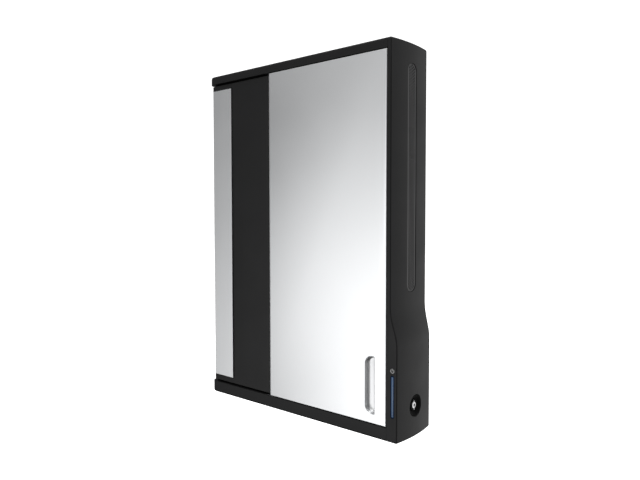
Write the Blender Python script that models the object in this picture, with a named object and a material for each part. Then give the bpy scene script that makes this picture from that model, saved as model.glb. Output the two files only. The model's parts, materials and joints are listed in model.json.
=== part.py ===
"""Slim locking wall cabinet that stores and charges twelve tablets.

Frame: +Z is up, the doors face -Y, the wall is the plane Y = 0, and +X is to the right of a
person who faces the cabinet. The origin is the middle of the wall bracket's rear face.
Sizes in this script are millimetres. MM turns them into Blender's metres.
"""
import math

import bmesh
import bpy
from mathutils import Matrix, Vector

MM = 0.001
GAP = 0.3  # clearance between pieces that touch

# ---- driving dimensions -------------------------------------------------------------------
HALF_HEIGHT = 382.0
FRONT = -130.0  # plane of the silver door, the caps and the bezel
CAP_LEFT = -268.5  # left end of both caps
SEAM_X = 252.2  # joint between the caps and the side housing
SIDE_X = 260.0  # front right corner of the upper body
BULGE = 15.5  # how far the lower body steps out to the right, at its front
BULGE_TAPER = 0.3  # share of that step lost from the front to the wall
BULGE_TOP = -126.0
BULGE_BOTTOM = -190.0
BARREL = 6.0  # how far the right side bows out between its front and rear edges
EDGE_RADIUS = 5.5  # top and bottom edges of the body
FRONT_RADIUS = 4.0  # upright edges of the side housing
REAR_RADIUS = 9.0
SHELL = 3.0  # wall of the plastic mouldings
CAP_LIP = 3.5  # return along the front of both caps
SHEET = 1.5  # sheet steel
CAP_UNDER = 362.8  # lower face of the top cap
BASE_TOP = -355.0  # upper face of the bottom cap

DOOR_LEFT = -65.5
DOOR_RIGHT = 251.0
DOOR_TOP = 361.5
DOOR_BOTTOM = -353.7
DOOR_SKIN = 1.2
DOOR_REAR = -114.0
DOOR_ROLL = 7.0  # rolled left edge, concentric with the door's hinge
DOOR_AXIS = (DOOR_LEFT + DOOR_ROLL, FRONT + DOOR_ROLL)
DOOR_PIN = 2.5  # radius of the door's hinge pins

PANEL_FRONT = -125.0
PANEL_RIGHT = -67.5
PANEL_ROLL = 10.0  # rolled left edge of the access door, concentric with its hinge
PANEL_AXIS = (-253.5, PANEL_FRONT + PANEL_ROLL)
PANEL_TOP = 358.5
PANEL_BOTTOM = -350.5
PANEL_WALL = 2.5
PANEL_PIN = 2.0  # radius of the pins the access door turns on
PIVOT_BOSS = 5.0  # radius of the bosses on the caps that hold those pins

POCKET = (202.0, 224.5, -335.0, -222.0)  # finger pull: left, right, bottom, top
POCKET_DEPTH = 10.0
POCKET_WALL = 1.5

SHELVES = 12
SHELF_PITCH = 44.0
SHELF_START = (-23.0, -342.0)  # lower rear corner of the first shelf, as (y, z)
SHELF_TILT = math.radians(62.0)
SHELF_LENGTH = 150.0
SHELF_LEDGE = 16.0
SHELF_WALL = 2.0
RACK_LEFT = -55.0  # inner faces of the two combs that hold the shelves
RACK_RIGHT = 229.0
COMB = 5.0
GROOVE = 3.0

VENT_Y = -65.0
VENT_WIDTH = 30.0
VENT_BOTTOM = -98.0
VENT_TOP = 342.0
VENT_RECESS = 3.2  # depth of the grille below the bowed side
FAN_Z = 190.0
FAN_SIZE = 60.0
FAN_OPENING = 27.0  # radius of the air opening behind the fan

LOCK_Y = -68.0
LOCK_Z = -320.5
LOCK_FACE = 277.8
ROSETTE = 21.0  # radius of the lock's black rosette
PLUG = 6.4  # radius of the lock's turning plug
CAM = (240.5, 243.0)  # X range of the lock cam
SIGNAL_X = 265.5  # status light and power symbol, on the bezel
LIGHT_BAR = (-331.5, -254.0)
LIGHT_HALF = 2.6  # half the width of the light's opening
SYMBOL_Z = -243.0
SYMBOL_RADIUS = 5.6
INLET_X = -170.0
INLET_Y = -62.0
SWITCH_X = -120.0
ROCKER_HEIGHT = 6.2  # rocker pivot above the cabinet's underside
LATCH_Y = -103.8
LATCH_Z = 0.0


# ---- materials ----------------------------------------------------------------------------
def material(name, colour, roughness, metallic=0.0):
    mat = bpy.data.materials.new(name)
    mat.use_nodes = True
    shader = mat.node_tree.nodes["Principled BSDF"]
    shader.inputs["Base Color"].default_value = (*colour, 1.0)
    shader.inputs["Roughness"].default_value = roughness
    shader.inputs["Metallic"].default_value = metallic
    return mat


PAINTS = {
    "black_plastic": ((0.018, 0.018, 0.019), 0.42, 0.0),
    "soft_black": ((0.008, 0.008, 0.008), 0.6, 0.0),
    "silver": ((0.72, 0.73, 0.74), 0.3, 0.9),
    "steel": ((0.55, 0.56, 0.57), 0.35, 1.0),
    "dark_steel": ((0.05, 0.05, 0.055), 0.45, 0.3),
    "grey_plastic": ((0.35, 0.36, 0.37), 0.45, 0.0),
    "rubber": ((0.02, 0.02, 0.02), 0.8, 0.0),
    "board": ((0.02, 0.11, 0.05), 0.5, 0.0),
    "blue_light": ((0.07, 0.13, 0.24), 0.25, 0.0),
    "clear_grey": ((0.4, 0.41, 0.43), 0.3, 0.0),
}


# ---- shapes: each returns (vertices, faces) in millimetres --------------------------------
def loft(rings):
    """Skin a stack of closed rings that have equal counts, and cap both ends."""
    count = len(rings[0])
    verts = [point for ring in rings for point in ring]
    faces = []
    for level in range(len(rings) - 1):
        low = level * count
        for i in range(count):
            j = (i + 1) % count
            faces.append((low + i, low + j, low + count + j, low + count + i))
    faces.append(tuple(reversed(range(count))))
    faces.append(tuple(range(len(verts) - count, len(verts))))
    return verts, faces


def prism(outline, axis, low, high):
    """Extrude an outline along an axis. The outline's two numbers are the other two axes."""
    place = {
        "x": lambda a, b, t: (t, a, b),
        "y": lambda a, b, t: (a, t, b),
        "z": lambda a, b, t: (a, b, t),
    }[axis]
    return loft([[place(a, b, t) for a, b in outline] for t in (low, high)])


def box(x0, x1, y0, y1, z0, z1):
    return prism([(x0, y0), (x1, y0), (x1, y1), (x0, y1)], "z", z0, z1)


def arc(cx, cy, radius, start, end, steps):
    """Points on an arc, angles in degrees."""
    turns = [math.radians(start + (end - start) * i / steps) for i in range(steps + 1)]
    return [(cx + radius * math.cos(t), cy + radius * math.sin(t)) for t in turns]


def rod(axis, centre, radius, low, high, steps=16):
    return prism(arc(centre[0], centre[1], radius, 0, 360 - 360 / steps, steps - 1), axis, low, high)


def turned_x(centre, profile, steps=24):
    """Closed ring turned about an X axis. The profile is (x, radius) points, radius above 0."""
    cy, cz = centre
    count = len(profile)
    verts = []
    faces = []
    for i in range(steps):
        turn = 2 * math.pi * i / steps
        verts += [(x, cy + r * math.cos(turn), cz + r * math.sin(turn)) for x, r in profile]
        for k in range(count):
            a, b = i * count, (i + 1) % steps * count
            m = (k + 1) % count
            faces.append((a + k, a + m, b + m, b + k))
    return verts, faces


def mesh_of(name, *shapes):
    verts, faces = [], []
    for points, sides in shapes:
        start = len(verts)
        verts += points
        faces += [tuple(start + i for i in side) for side in sides]
    mesh = bpy.data.meshes.new(name)
    mesh.from_pydata([Vector(p) * MM for p in verts], [], faces)
    turn_outward(mesh)
    return mesh


def turn_outward(mesh):
    bm = bmesh.new()
    bm.from_mesh(mesh)
    bmesh.ops.recalc_face_normals(bm, faces=bm.faces)
    bm.to_mesh(mesh)
    bm.free()


def link(name, mesh):
    obj = bpy.data.objects.new(name, mesh)
    bpy.context.scene.collection.objects.link(obj)
    return obj


def combine(obj, operation, number, shapes):
    """Add one Boolean whose tool is a hidden object made of shapes that don't meet each other."""
    tool = link(f"{obj.name}_{operation.lower()}_{number}", mesh_of("tool", *shapes))
    tool.hide_render = True
    tool.display_type = "WIRE"
    modifier = obj.modifiers.new(tool.name, "BOOLEAN")
    modifier.operation = operation
    modifier.solver = "EXACT"
    modifier.object = tool


def make(name, paint, shape, add=(), cut=(), pivot=None, smooth=False):
    """One named piece: a base shape, then unions and cuts. Each entry of cut is a group."""
    mesh = mesh_of(name, shape)
    mesh.materials.append(MATERIALS[paint])
    obj = link(name, mesh)
    if pivot:
        mesh.transform(Matrix.Translation(-pivot.location))
        obj.parent = pivot
    for number, extra in enumerate(add):
        combine(obj, "UNION", number, [extra])
    for number, group in enumerate(cut):
        combine(obj, "DIFFERENCE", number, group)
    if smooth:
        mesh.shade_smooth()
        mesh.set_sharp_from_angle(angle=math.radians(35))
    return obj


def axis_empty(name, x, y, z):
    empty = link(name, None)
    empty.location = Vector((x, y, z)) * MM
    return empty


# ---- outer body ---------------------------------------------------------------------------
def bulge_at(z):
    """How far the right side is shifted out at a height: a smooth step."""
    t = min(max((BULGE_TOP - z) / (BULGE_TOP - BULGE_BOTTOM), 0.0), 1.0)
    return BULGE * t * t * (2.2 - 1.2 * t)


def side_x(y, z):
    """X of the bowed right side at a depth and height."""
    half = FRONT / 2
    step = bulge_at(z) * (1 - BULGE_TAPER * (FRONT - y) / FRONT)
    return SIDE_X + step + BARREL * (1 - ((y - half) / half) ** 2)


def rounded_levels(low, high, round_low, round_high, middle=()):
    """Heights of a loft, with the inset that rounds its lower and upper edges."""
    steps = 3
    levels = []
    if round_low:
        for i in range(steps + 1):
            turn = math.pi / 2 * i / steps
            inset = EDGE_RADIUS * (1 - math.sin(turn))
            levels.append((low + EDGE_RADIUS * (1 - math.cos(turn)), inset))
    else:
        levels.append((low, 0.0))
    levels += [(z, 0.0) for z in middle]
    if round_high:
        for i in range(steps + 1):
            turn = math.pi / 2 * i / steps
            inset = EDGE_RADIUS * (1 - math.cos(turn))
            levels.append((high - EDGE_RADIUS * (1 - math.sin(turn)), inset))
    else:
        levels.append((high, 0.0))
    return levels


def housing_ring(z, inset):
    """Plan outline of the side housing, from its bezel round the bowed side to the wall."""
    front = FRONT + inset
    corner, rear = max(FRONT_RADIUS - inset, 0.4), REAR_RADIUS
    points = [(SEAM_X, 0.0), (SEAM_X, front)]
    edge = side_x(FRONT + FRONT_RADIUS, z) - inset
    points += arc(edge - corner, front + corner, corner, 270, 360, 3)
    rows = 7
    for i in range(1, rows + 1):
        y = FRONT + FRONT_RADIUS + (-rear - FRONT - FRONT_RADIUS) * i / rows
        points.append((side_x(y, z) - inset, max(y, front + corner + i)))
    middle = side_x(-rear, z) - rear
    points += [(middle + (rear - inset) / rear * x, y) for x, y in arc(0, -rear, rear, 0, 90, 3)[1:]]
    return [(x, y, z) for x, y in points]


def housing_hollow(z):
    points = [(SEAM_X - 10, -112.0), (SEAM_X + 2.5, -112.0), (SEAM_X + 2.5, FRONT + SHELL)]
    rows = 7
    for i in range(rows + 1):
        y = FRONT + SHELL + (-FRONT - REAR_RADIUS - SHELL) * i / rows
        points.append((side_x(y, z) - SHELL, y))
    points += [(side_x(0, z) - REAR_RADIUS, -SHELL), (SEAM_X - 10, -SHELL)]
    return [(x, y, z) for x, y in points]


def bulge_levels():
    return [BULGE_BOTTOM + (BULGE_TOP - BULGE_BOTTOM) * i / 6 for i in range(7)]


def slot_outline(centre, width, low, high, steps=6):
    """Upright slot with round ends, as (y, z) points."""
    radius = width / 2
    return (arc(centre, low + radius, radius, 180, 360, steps)
            + arc(centre, high - radius, radius, 0, 180, steps))


def build_side_housing():
    levels = rounded_levels(-HALF_HEIGHT, HALF_HEIGHT, True, True, bulge_levels())
    inner = [-HALF_HEIGHT + SHELL] + bulge_levels() + [HALF_HEIGHT - SHELL]
    vent = prism(slot_outline(VENT_Y, VENT_WIDTH, VENT_BOTTOM, VENT_TOP), "x", SIDE_X - 8, SIDE_X + 20)
    lock = rod("x", (LOCK_Y, LOCK_Z), ROSETTE + GAP, SIDE_X, SIDE_X + 40, 28)
    light = box(SIGNAL_X - LIGHT_HALF, SIGNAL_X + LIGHT_HALF, FRONT - 5, FRONT + SHELL + 2, *LIGHT_BAR)
    symbol = rod("y", (SIGNAL_X, SYMBOL_Z), SYMBOL_RADIUS, FRONT - 5, FRONT + SHELL + 2, 20)
    make("side_housing", "black_plastic", loft([housing_ring(z, i) for z, i in levels]),
         cut=[[loft([housing_hollow(z) for z in inner])], [vent, lock, light, symbol]], smooth=True)


def cap_ring(z, inset):
    """Plan outline of a cap: square to the seam, a wide round at its left front corner."""
    front_corner, rear_corner = 18.0, 5.0
    left, front = CAP_LEFT + inset, FRONT + inset
    points = [(SEAM_X - GAP, 0.0)]
    points += arc(CAP_LEFT + rear_corner, -rear_corner, rear_corner - inset * 0.8, 90, 180, 2)
    points += arc(CAP_LEFT + front_corner, FRONT + front_corner, front_corner - inset, 180, 270, 6)
    points.append((SEAM_X - GAP, front))
    return [(x, y, z) for x, y in points]


def build_caps():
    """Both caps are trays that open towards the chassis, with a return along their front."""
    tray = (CAP_LEFT + 6, SEAM_X - 4)
    for name, face, outside, panel_end in (("top_cap", CAP_UNDER, HALF_HEIGHT, PANEL_TOP),
                                           ("bottom_cap", BASE_TOP, -HALF_HEIGHT, PANEL_BOTTOM)):
        top = name == "top_cap"
        out = 1 if top else -1
        low, high = sorted((face, outside))
        floor = outside - out * SHELL
        lip = face + out * CAP_LIP
        rings = [cap_ring(z, i) for z, i in rounded_levels(low, high, not top, top)]
        hollow = box(*tray, -99, -6, *sorted((face - out, floor)))
        front_channel = box(*tray, FRONT + SHELL + 0.5, -95, *sorted((lip, floor)))
        hinge = box(DOOR_AXIS[0] - 21, DOOR_AXIS[0] + 20, FRONT + SHELL, -90,
                    *sorted((face - out, lip + out)))
        boss_end = panel_end + out * GAP
        boss = rod("z", PANEL_AXIS, PIVOT_BOSS, *sorted((boss_end, face + out)))
        pivot = rod("z", PANEL_AXIS, PANEL_PIN + GAP, *sorted((boss_end - 3 * out, face + 6 * out)), 12)
        groups = [[hollow], [front_channel], [hinge, pivot]]
        if not top:
            groups.append(power_openings(outside - 1, outside + 6))
        make(name, "black_plastic", loft(rings), add=[boss], cut=groups, smooth=True)


def power_openings(low, high):
    """Cutters for the mains inlet and the switch in the cabinet's underside."""
    return [box(x - half_x, x + half_x, INLET_Y - half_y, INLET_Y + half_y, low, high)
            for x, half_x, half_y in ((INLET_X, 24.5, 14.5), (SWITCH_X, 7.8, 11.3))]


def build_vent_and_signals():
    plate_x = side_x(VENT_Y, 0) - VENT_RECESS
    slots = []
    rows = 20
    pitch = (VENT_TOP - VENT_BOTTOM - VENT_WIDTH) / rows
    for i in range(rows):
        z = VENT_BOTTOM + VENT_WIDTH / 2 + pitch * (i + 0.5)
        slots.append(box(plate_x - 5, plate_x + 5, VENT_Y - 10, VENT_Y + 10, z - 6, z + 6))
    outline = slot_outline(VENT_Y, VENT_WIDTH - 2 * GAP, VENT_BOTTOM + GAP, VENT_TOP - GAP)
    make("vent_grille", "black_plastic", prism(outline, "x", plate_x - SHEET, plate_x), cut=[slots])

    make("status_light", "blue_light",
         box(SIGNAL_X - LIGHT_HALF + GAP, SIGNAL_X + LIGHT_HALF - GAP, FRONT - 0.2, FRONT + 6,
             LIGHT_BAR[0] + GAP, LIGHT_BAR[1] - GAP))
    make("power_symbol_lens", "clear_grey",
         rod("y", (SIGNAL_X, SYMBOL_Z), SYMBOL_RADIUS - GAP, FRONT, FRONT + 4, 20))


# ---- chassis and wall bracket -------------------------------------------------------------
CHASSIS_LOW = BASE_TOP + GAP
CHASSIS_HIGH = CAP_UNDER - GAP
LEFT_WALL = -266.0
RIGHT_WALL = 249.0
BACK_Y = -7.0
LEFT_EDGE = -108.0  # front edges of the chassis sides
RIGHT_EDGE = -111.0
SHELF_EDGE_Y = -102.0  # front edge of the chassis top and bottom
BOLT_X = 160.0
BOLT_Z = 250.0
PARTITION = (-62.0, -60.5)
WINDOWS = (-200.0, 20.0, 240.0)  # heights of the cable windows
WINDOW_HALF = 40.0


def build_chassis():
    wall = SHEET
    outline = [(LEFT_WALL, LEFT_EDGE), (LEFT_WALL + wall, LEFT_EDGE), (LEFT_WALL + wall, BACK_Y),
               (RIGHT_WALL - wall, BACK_Y), (RIGHT_WALL - wall, RIGHT_EDGE), (RIGHT_WALL, RIGHT_EDGE),
               (RIGHT_WALL, BACK_Y + wall), (LEFT_WALL, BACK_Y + wall)]
    bolts = [rod("y", (x, z), 3.6, BACK_Y - 5, BACK_Y + 5, 12)
             for x in (-BOLT_X, BOLT_X) for z in (-BOLT_Z, BOLT_Z)]
    fan_hole = rod("x", (VENT_Y, FAN_Z), FAN_OPENING, RIGHT_WALL - 6, RIGHT_WALL + 6, 24)
    lock_hole = rod("x", (LOCK_Y, LOCK_Z), 9.4, RIGHT_WALL - 6, RIGHT_WALL + 6, 16)
    make("chassis_wrapper", "dark_steel", prism(outline, "z", CHASSIS_LOW, CHASSIS_HIGH),
         cut=[bolts + [fan_hole, lock_hole]])

    inner = (LEFT_WALL + wall + GAP, RIGHT_WALL - wall - GAP)
    make("chassis_top", "dark_steel",
         box(*inner, SHELF_EDGE_Y, BACK_Y - GAP, CHASSIS_HIGH - wall, CHASSIS_HIGH))
    make("chassis_bottom", "dark_steel",
         box(*inner, SHELF_EDGE_Y, BACK_Y - GAP, CHASSIS_LOW, CHASSIS_LOW + wall),
         cut=[power_openings(CHASSIS_LOW - 3, CHASSIS_LOW + 5)])


def build_wall_bracket():
    """One steel plate, cut as an upright I: two rails joined by a web through the origin."""
    rail, web = 200.0, 45.0
    top, bottom = 290.0, 210.0
    outline = [(-rail, -top), (rail, -top), (rail, -bottom), (web, -bottom), (web, bottom),
               (rail, bottom), (rail, top), (-rail, top), (-rail, bottom), (-web, bottom),
               (-web, -bottom), (-rail, -bottom)]
    wall_holes = [rod("y", (x, z), 4.5, -20, 20, 12) for x in (-100, 100) for z in (-BOLT_Z, BOLT_Z)]
    wall_holes += [rod("y", (0, z), 4.5, -20, 20, 12) for z in (-150, 150)]
    threads = [rod("y", (x, z), 3.3, -20, 20, 12) for x in (-BOLT_X, BOLT_X) for z in (-BOLT_Z, BOLT_Z)]
    make("wall_bracket", "steel", prism(outline, "y", -4.0, 0.0), cut=[wall_holes + threads])


def build_partition():
    """Sheet wall between the tablet bay and the power bay, and the post in front of it."""
    windows = [box(-70, -50, -75, -45, z - WINDOW_HALF, z + WINDOW_HALF) for z in WINDOWS]
    make("partition_wall", "dark_steel",
         box(*PARTITION, -106.5, BACK_Y - GAP, CHASSIS_LOW + SHEET + GAP, CHASSIS_HIGH - SHEET - GAP),
         cut=[windows + [box(-70, -50, -108, -100.5, LATCH_Z - 6, LATCH_Z + 6)]])
    left, right, front, depth = -78.0, -46.0, -108.5, 7.5
    foot, head = CHASSIS_LOW + SHEET + GAP, CHASSIS_HIGH - SHEET - GAP
    post = [(left, front), (right, front), (right, front + depth), (right - SHEET, front + depth),
            (right - SHEET, front + SHEET), (left + SHEET, front + SHEET),
            (left + SHEET, front + depth), (left, front + depth)]
    make("centre_post", "dark_steel", prism(post, "z", foot, head),
         cut=[[box(left - 5, right + 5, -106.2, -101.4, LATCH_Z - 5.4, LATCH_Z + 5.4)]])


# ---- tablet rack --------------------------------------------------------------------------
def shelf_profile(grow):
    """Side view of a shelf: a tilted plate with a stop at its low rear end, as (y, z)."""
    y0, z0 = SHELF_START
    along = (-math.cos(SHELF_TILT), math.sin(SHELF_TILT))
    square = (math.sin(SHELF_TILT), math.cos(SHELF_TILT))
    w = SHELF_WALL
    corners = [(-grow, -grow), (-grow, SHELF_LEDGE + grow), (w + grow, SHELF_LEDGE + grow),
               (w + grow, w + grow), (SHELF_LENGTH + grow, w + grow), (SHELF_LENGTH + grow, -grow)]
    return [(y0 + a * along[0] + b * square[0], z0 + a * along[1] + b * square[1]) for a, b in corners]


def build_rack():
    left_end, right_end = RACK_LEFT - GROOVE + GAP, RACK_RIGHT + GROOVE - GAP
    finger = rod("y", (90, SHELF_START[1] + SHELF_LENGTH * math.sin(SHELF_TILT) + 8), 32, -140, -60, 24)
    cable = box(RACK_LEFT + 12, RACK_LEFT + 24, -110, -82, -400, 0)
    plate = prism(shelf_profile(0), "x", left_end, right_end)
    pattern = link("shelf_pattern", mesh_of("shelf_pattern", plate))
    combine(pattern, "DIFFERENCE", 0, [finger, cable])
    bpy.context.view_layer.update()
    graph = bpy.context.evaluated_depsgraph_get()
    mesh = bpy.data.meshes.new_from_object(pattern.evaluated_get(graph))
    mesh.materials.clear()
    mesh.materials.append(MATERIALS["grey_plastic"])
    bpy.data.objects.remove(pattern)
    for number in range(SHELVES):
        shelf = link(f"tablet_shelf_{number + 1:02d}", mesh)
        shelf.location.z = number * SHELF_PITCH * MM

    low, high = CHASSIS_LOW + 8, CHASSIS_HIGH - 8
    profile = shelf_profile(GAP)
    for name, x0, x1, front, g0, g1 in (
            ("comb_left", RACK_LEFT - COMB, RACK_LEFT, -100.2, RACK_LEFT - GROOVE, RACK_LEFT + 5),
            ("comb_right", RACK_RIGHT, RACK_RIGHT + COMB, -105.0, RACK_RIGHT - 5, RACK_RIGHT + GROOVE)):
        grooves = [prism([(y, z + n * SHELF_PITCH) for y, z in profile], "x", g0, g1)
                   for n in range(SHELVES)]
        windows = [box(x0 - 5, x1 + 5, -76, -44, z - WINDOW_HALF - 1, z + WINDOW_HALF + 1) for z in WINDOWS]
        groups = [grooves, windows] if name == "comb_left" else [grooves]
        make(name, "black_plastic", box(x0, x1, front, BACK_Y - GAP - 0.2, low, high), cut=groups)


def build_door_stop():
    """Angle that closes the lock corridor beside the rack and carries the door's bumpers."""
    x0, x1 = RACK_RIGHT + 6, RIGHT_WALL - SHEET - GAP
    outline = [(x0, -111.0), (x1, -111.0), (x1, -96.0), (x1 - SHEET, -96.0),
               (x1 - SHEET, -111.0 + SHEET), (x0, -111.0 + SHEET)]
    make("door_stop_angle", "dark_steel", prism(outline, "z", CHASSIS_LOW + 6, CHASSIS_HIGH - 6),
         cut=[[box(x0 - 2, x1 - SHEET - GAP, -115, -105, LOCK_Z - 20, LOCK_Z + 8)]])
    for number, z in enumerate((250.0, -180.0), 1):
        make(f"door_bumper_{number}", "rubber", rod("y", (x0 + 5, z), 3.5, DOOR_REAR + GAP, -111.3, 12))


# ---- main door ----------------------------------------------------------------------------
def door_ring(z, inset, wall=0.0, rear=DOOR_REAR):
    """Plan outline of the door skin: rolled left edge, small right radius."""
    radius = 2.5
    x, y = DOOR_AXIS
    points = [(DOOR_RIGHT - wall, rear), (DOOR_LEFT + wall, rear)]
    points += arc(x, y, DOOR_ROLL - wall, 180, 270, 5)
    right = DOOR_RIGHT - radius
    points += arc(right, FRONT + radius, radius - wall, 270, 360, 3)
    front = FRONT + inset + wall
    return [(px, max(py, front), z) for px, py in points]


def build_door(pivot):
    edge = 2.0
    levels = [(DOOR_BOTTOM, edge), (DOOR_BOTTOM + 0.6, 0.6), (DOOR_BOTTOM + edge, 0),
              (DOOR_TOP - edge, 0), (DOOR_TOP - 0.6, 0.6), (DOOR_TOP, edge)]
    hollow = [door_ring(z, 0, DOOR_SKIN, DOOR_REAR + 10) for z in (DOOR_BOTTOM + edge, DOOR_TOP - edge)]
    grip = prism(pocket_outline(0), "y", FRONT - 5, FRONT + 5)
    pins = [rod("z", DOOR_AXIS, DOOR_PIN + GAP, z - 6, z + 6, 12) for z in (DOOR_BOTTOM, DOOR_TOP)]
    make("door_skin", "silver", loft([door_ring(z, i) for z, i in levels]),
         cut=[[loft(hollow)], [grip] + pins], pivot=pivot, smooth=True)

    x0, x1 = DOOR_LEFT + DOOR_SKIN + GAP, DOOR_RIGHT - DOOR_SKIN - GAP
    z0, z1 = DOOR_BOTTOM + edge + GAP, DOOR_TOP - edge - GAP
    wall = SHEET
    tray = box(x0 + wall, x1 - wall, DOOR_REAR - 12, DOOR_REAR - wall, z0 + wall, z1 - wall)
    corners = [box(x0 - 1, DOOR_AXIS[0] + 5, DOOR_REAR - 12, DOOR_AXIS[1] + 6.5, z - 14, z + 14)
               for z in (z0, z1)]
    make("door_inner_pan", "dark_steel", box(x0, x1, DOOR_REAR - 7, DOOR_REAR, z0, z1),
         cut=[[tray], corners], pivot=pivot)

    bottom = FRONT + POCKET_DEPTH
    make("finger_pull", "silver", prism(pocket_outline(GAP), "y", FRONT + 0.6, bottom + 1.5),
         cut=[[prism(pocket_outline(POCKET_WALL + GAP), "y", FRONT - 3, bottom)]],
         pivot=pivot, smooth=True)

    for name, low, high in (("door_pin_upper", DOOR_TOP - 22, CAP_UNDER + 2.2),
                            ("door_pin_lower", BASE_TOP - 2.2, DOOR_BOTTOM + 22)):
        make(name, "steel", rod("z", DOOR_AXIS, DOOR_PIN, low, high), pivot=pivot)

    x = 236.5
    plate = box(x, x + 2, -98.5, -94.5, LOCK_Z - 16, LOCK_Z - 6.5)
    foot = box(x, x + 9, DOOR_REAR + GAP, DOOR_REAR + 2.3, LOCK_Z - 16, LOCK_Z + 5)
    web = box(x, x + 2, DOOR_REAR + GAP, -94.5, LOCK_Z - 16, LOCK_Z - 6.5)
    bar = box(x, x + 8.5, -98.5, -94.5, LOCK_Z - 10.5, LOCK_Z - 6.5)
    make("door_strike", "steel", web, add=[foot, bar], pivot=pivot)


def pocket_outline(inset):
    """D shape of the finger pull: round on its left, nearly square on its right."""
    left, right, low, high = POCKET
    left, right, low, high = left + inset, right - inset, low + inset, high - inset
    big, small = 16.0 - inset, 2.5
    return (arc(right - small, low + small, small, 270, 360, 2)
            + arc(right - small, high - small, small, 0, 90, 2)
            + arc(left + big, high - big, big, 90, 180, 5)
            + arc(left + big, low + big, big, 180, 270, 5))


def build_door_brackets():
    """Pivot plates under the top cap and over the bottom cap, and the washer the door rides on."""
    x, y = DOOR_AXIS
    for name, low in (("hinge_bracket_upper", CAP_UNDER + GAP), ("hinge_bracket_lower", BASE_TOP - 2.3)):
        plate = box(x - 20, x + 19, FRONT + SHELL + 0.8, -91, low, low + 2)
        make(name, "steel", plate, cut=[[rod("z", (x, y), DOOR_PIN + GAP, low - 2, low + 4)]])
    washer = rod("z", (x, y), 5.0, BASE_TOP + GAP, DOOR_BOTTOM - GAP)
    make("hinge_washer", "grey_plastic", washer,
         cut=[[rod("z", (x, y), DOOR_PIN + GAP, BASE_TOP - 2, DOOR_BOTTOM + 2)]])


# ---- access door --------------------------------------------------------------------------
def build_access_door(pivot):
    x, y = PANEL_AXIS
    outer = ([(PANEL_RIGHT, -112.0), (PANEL_RIGHT, PANEL_FRONT)]
             + arc(x, y, PANEL_ROLL, 270, 180, 6) + [(x - PANEL_ROLL, -109.5)])
    wall = PANEL_WALL
    inner = ([(PANEL_RIGHT - wall, -100.0), (PANEL_RIGHT - wall, PANEL_FRONT + wall)]
             + arc(x, y, PANEL_ROLL - wall, 270, 180, 6) + [(x - PANEL_ROLL + wall, -100.0)])
    pins = [rod("z", PANEL_AXIS, PANEL_PIN + GAP, z - 6, z + 6, 12) for z in (PANEL_BOTTOM, PANEL_TOP)]
    make("access_door", "black_plastic", prism(outer, "z", PANEL_BOTTOM, PANEL_TOP),
         cut=[[prism(inner, "z", PANEL_BOTTOM + wall, PANEL_TOP - wall)], pins], pivot=pivot, smooth=True)
    plate = box(-253.0, -189.5, PANEL_FRONT - 3.2, PANEL_FRONT - GAP, -337.0, 346.5)
    make("accent_plate", "silver", plate, pivot=pivot)
    for name, low, high in (("access_pin_upper", PANEL_TOP - 20, CAP_UNDER + 3),
                            ("access_pin_lower", BASE_TOP - 3, PANEL_BOTTOM + 20)):
        make(name, "steel", rod("z", PANEL_AXIS, PANEL_PIN, low, high, 12), pivot=pivot)
    window = box(-90, -70, -106.4, -101.0, LATCH_Z - 5.8, LATCH_Z + 5.8)
    foot = box(-93, -81.2, PANEL_FRONT + wall + GAP, PANEL_FRONT + wall + 2.3, LATCH_Z - 10, LATCH_Z + 10)
    make("latch_keeper", "steel",
         box(-83.2, -81.2, PANEL_FRONT + wall + GAP, -98.0, LATCH_Z - 10, LATCH_Z + 10),
         add=[foot], cut=[[window]], pivot=pivot)


def build_latch(pivot):
    bar = box(-77.6, -30.0, LATCH_Y - 2, LATCH_Y + 2, LATCH_Z - 5, LATCH_Z + 5)
    knob = box(-37.0, -28.0, -109.0, -98.5, LATCH_Z - 9, LATCH_Z + 9)
    make("access_latch", "steel", bar, add=[knob], pivot=pivot)


# ---- lock ---------------------------------------------------------------------------------
def build_lock(pivot):
    """The body is fixed in the side. The plug and the hooked cam turn together."""
    centre = (LOCK_Y, LOCK_Z)
    face = LOCK_FACE
    dish = [(face, ROSETTE), (face, 19.5), (face - 5, 11.5), (face - 6.5, 11.5), (face - 6.5, ROSETTE)]
    make("lock_escutcheon", "soft_black", turned_x(centre, dish, 28), smooth=True)
    inside = RIGHT_WALL - SHEET - 3.2
    bore = PLUG + GAP
    body = [(face - 3.2, 11.2), (face - 3.2, bore), (inside, bore), (inside, 9.0), (face - 7.5, 9.0),
            (face - 7.5, 11.2)]
    make("lock_body", "soft_black", turned_x(centre, body, 24), smooth=True)
    nut = rod("x", centre, 13.0, RIGHT_WALL + GAP, RIGHT_WALL + 4.5, 6)
    make("lock_nut", "steel", nut, cut=[[rod("x", centre, 9.3, RIGHT_WALL - 5, RIGHT_WALL + 9, 24)]])

    plug = rod("x", centre, PLUG, CAM[1] + 0.4, face - 2.2, 24)
    stem = rod("x", centre, 3.5, CAM[0] - 2.5, CAM[1] + 1, 16)
    key_slot = box(face - 8, face, LOCK_Y - 0.9, LOCK_Y + 0.9, LOCK_Z - 3.6, LOCK_Z + 3.6)
    make("lock_plug", "steel", plug, add=[stem], cut=[[key_slot]], pivot=pivot, smooth=True)
    y, z = centre
    tip, hook = z + 36, z + 32.2
    arm = [(y - 6, z - 6), (y + 6, z - 6), (y + 6, tip), (y - 12, tip), (y - 12, hook), (y - 5, hook)]
    make("lock_cam", "steel", prism(arm, "x", *CAM),
         cut=[[rod("x", centre, 3.8, 235, 250, 16)]], pivot=pivot)


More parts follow.
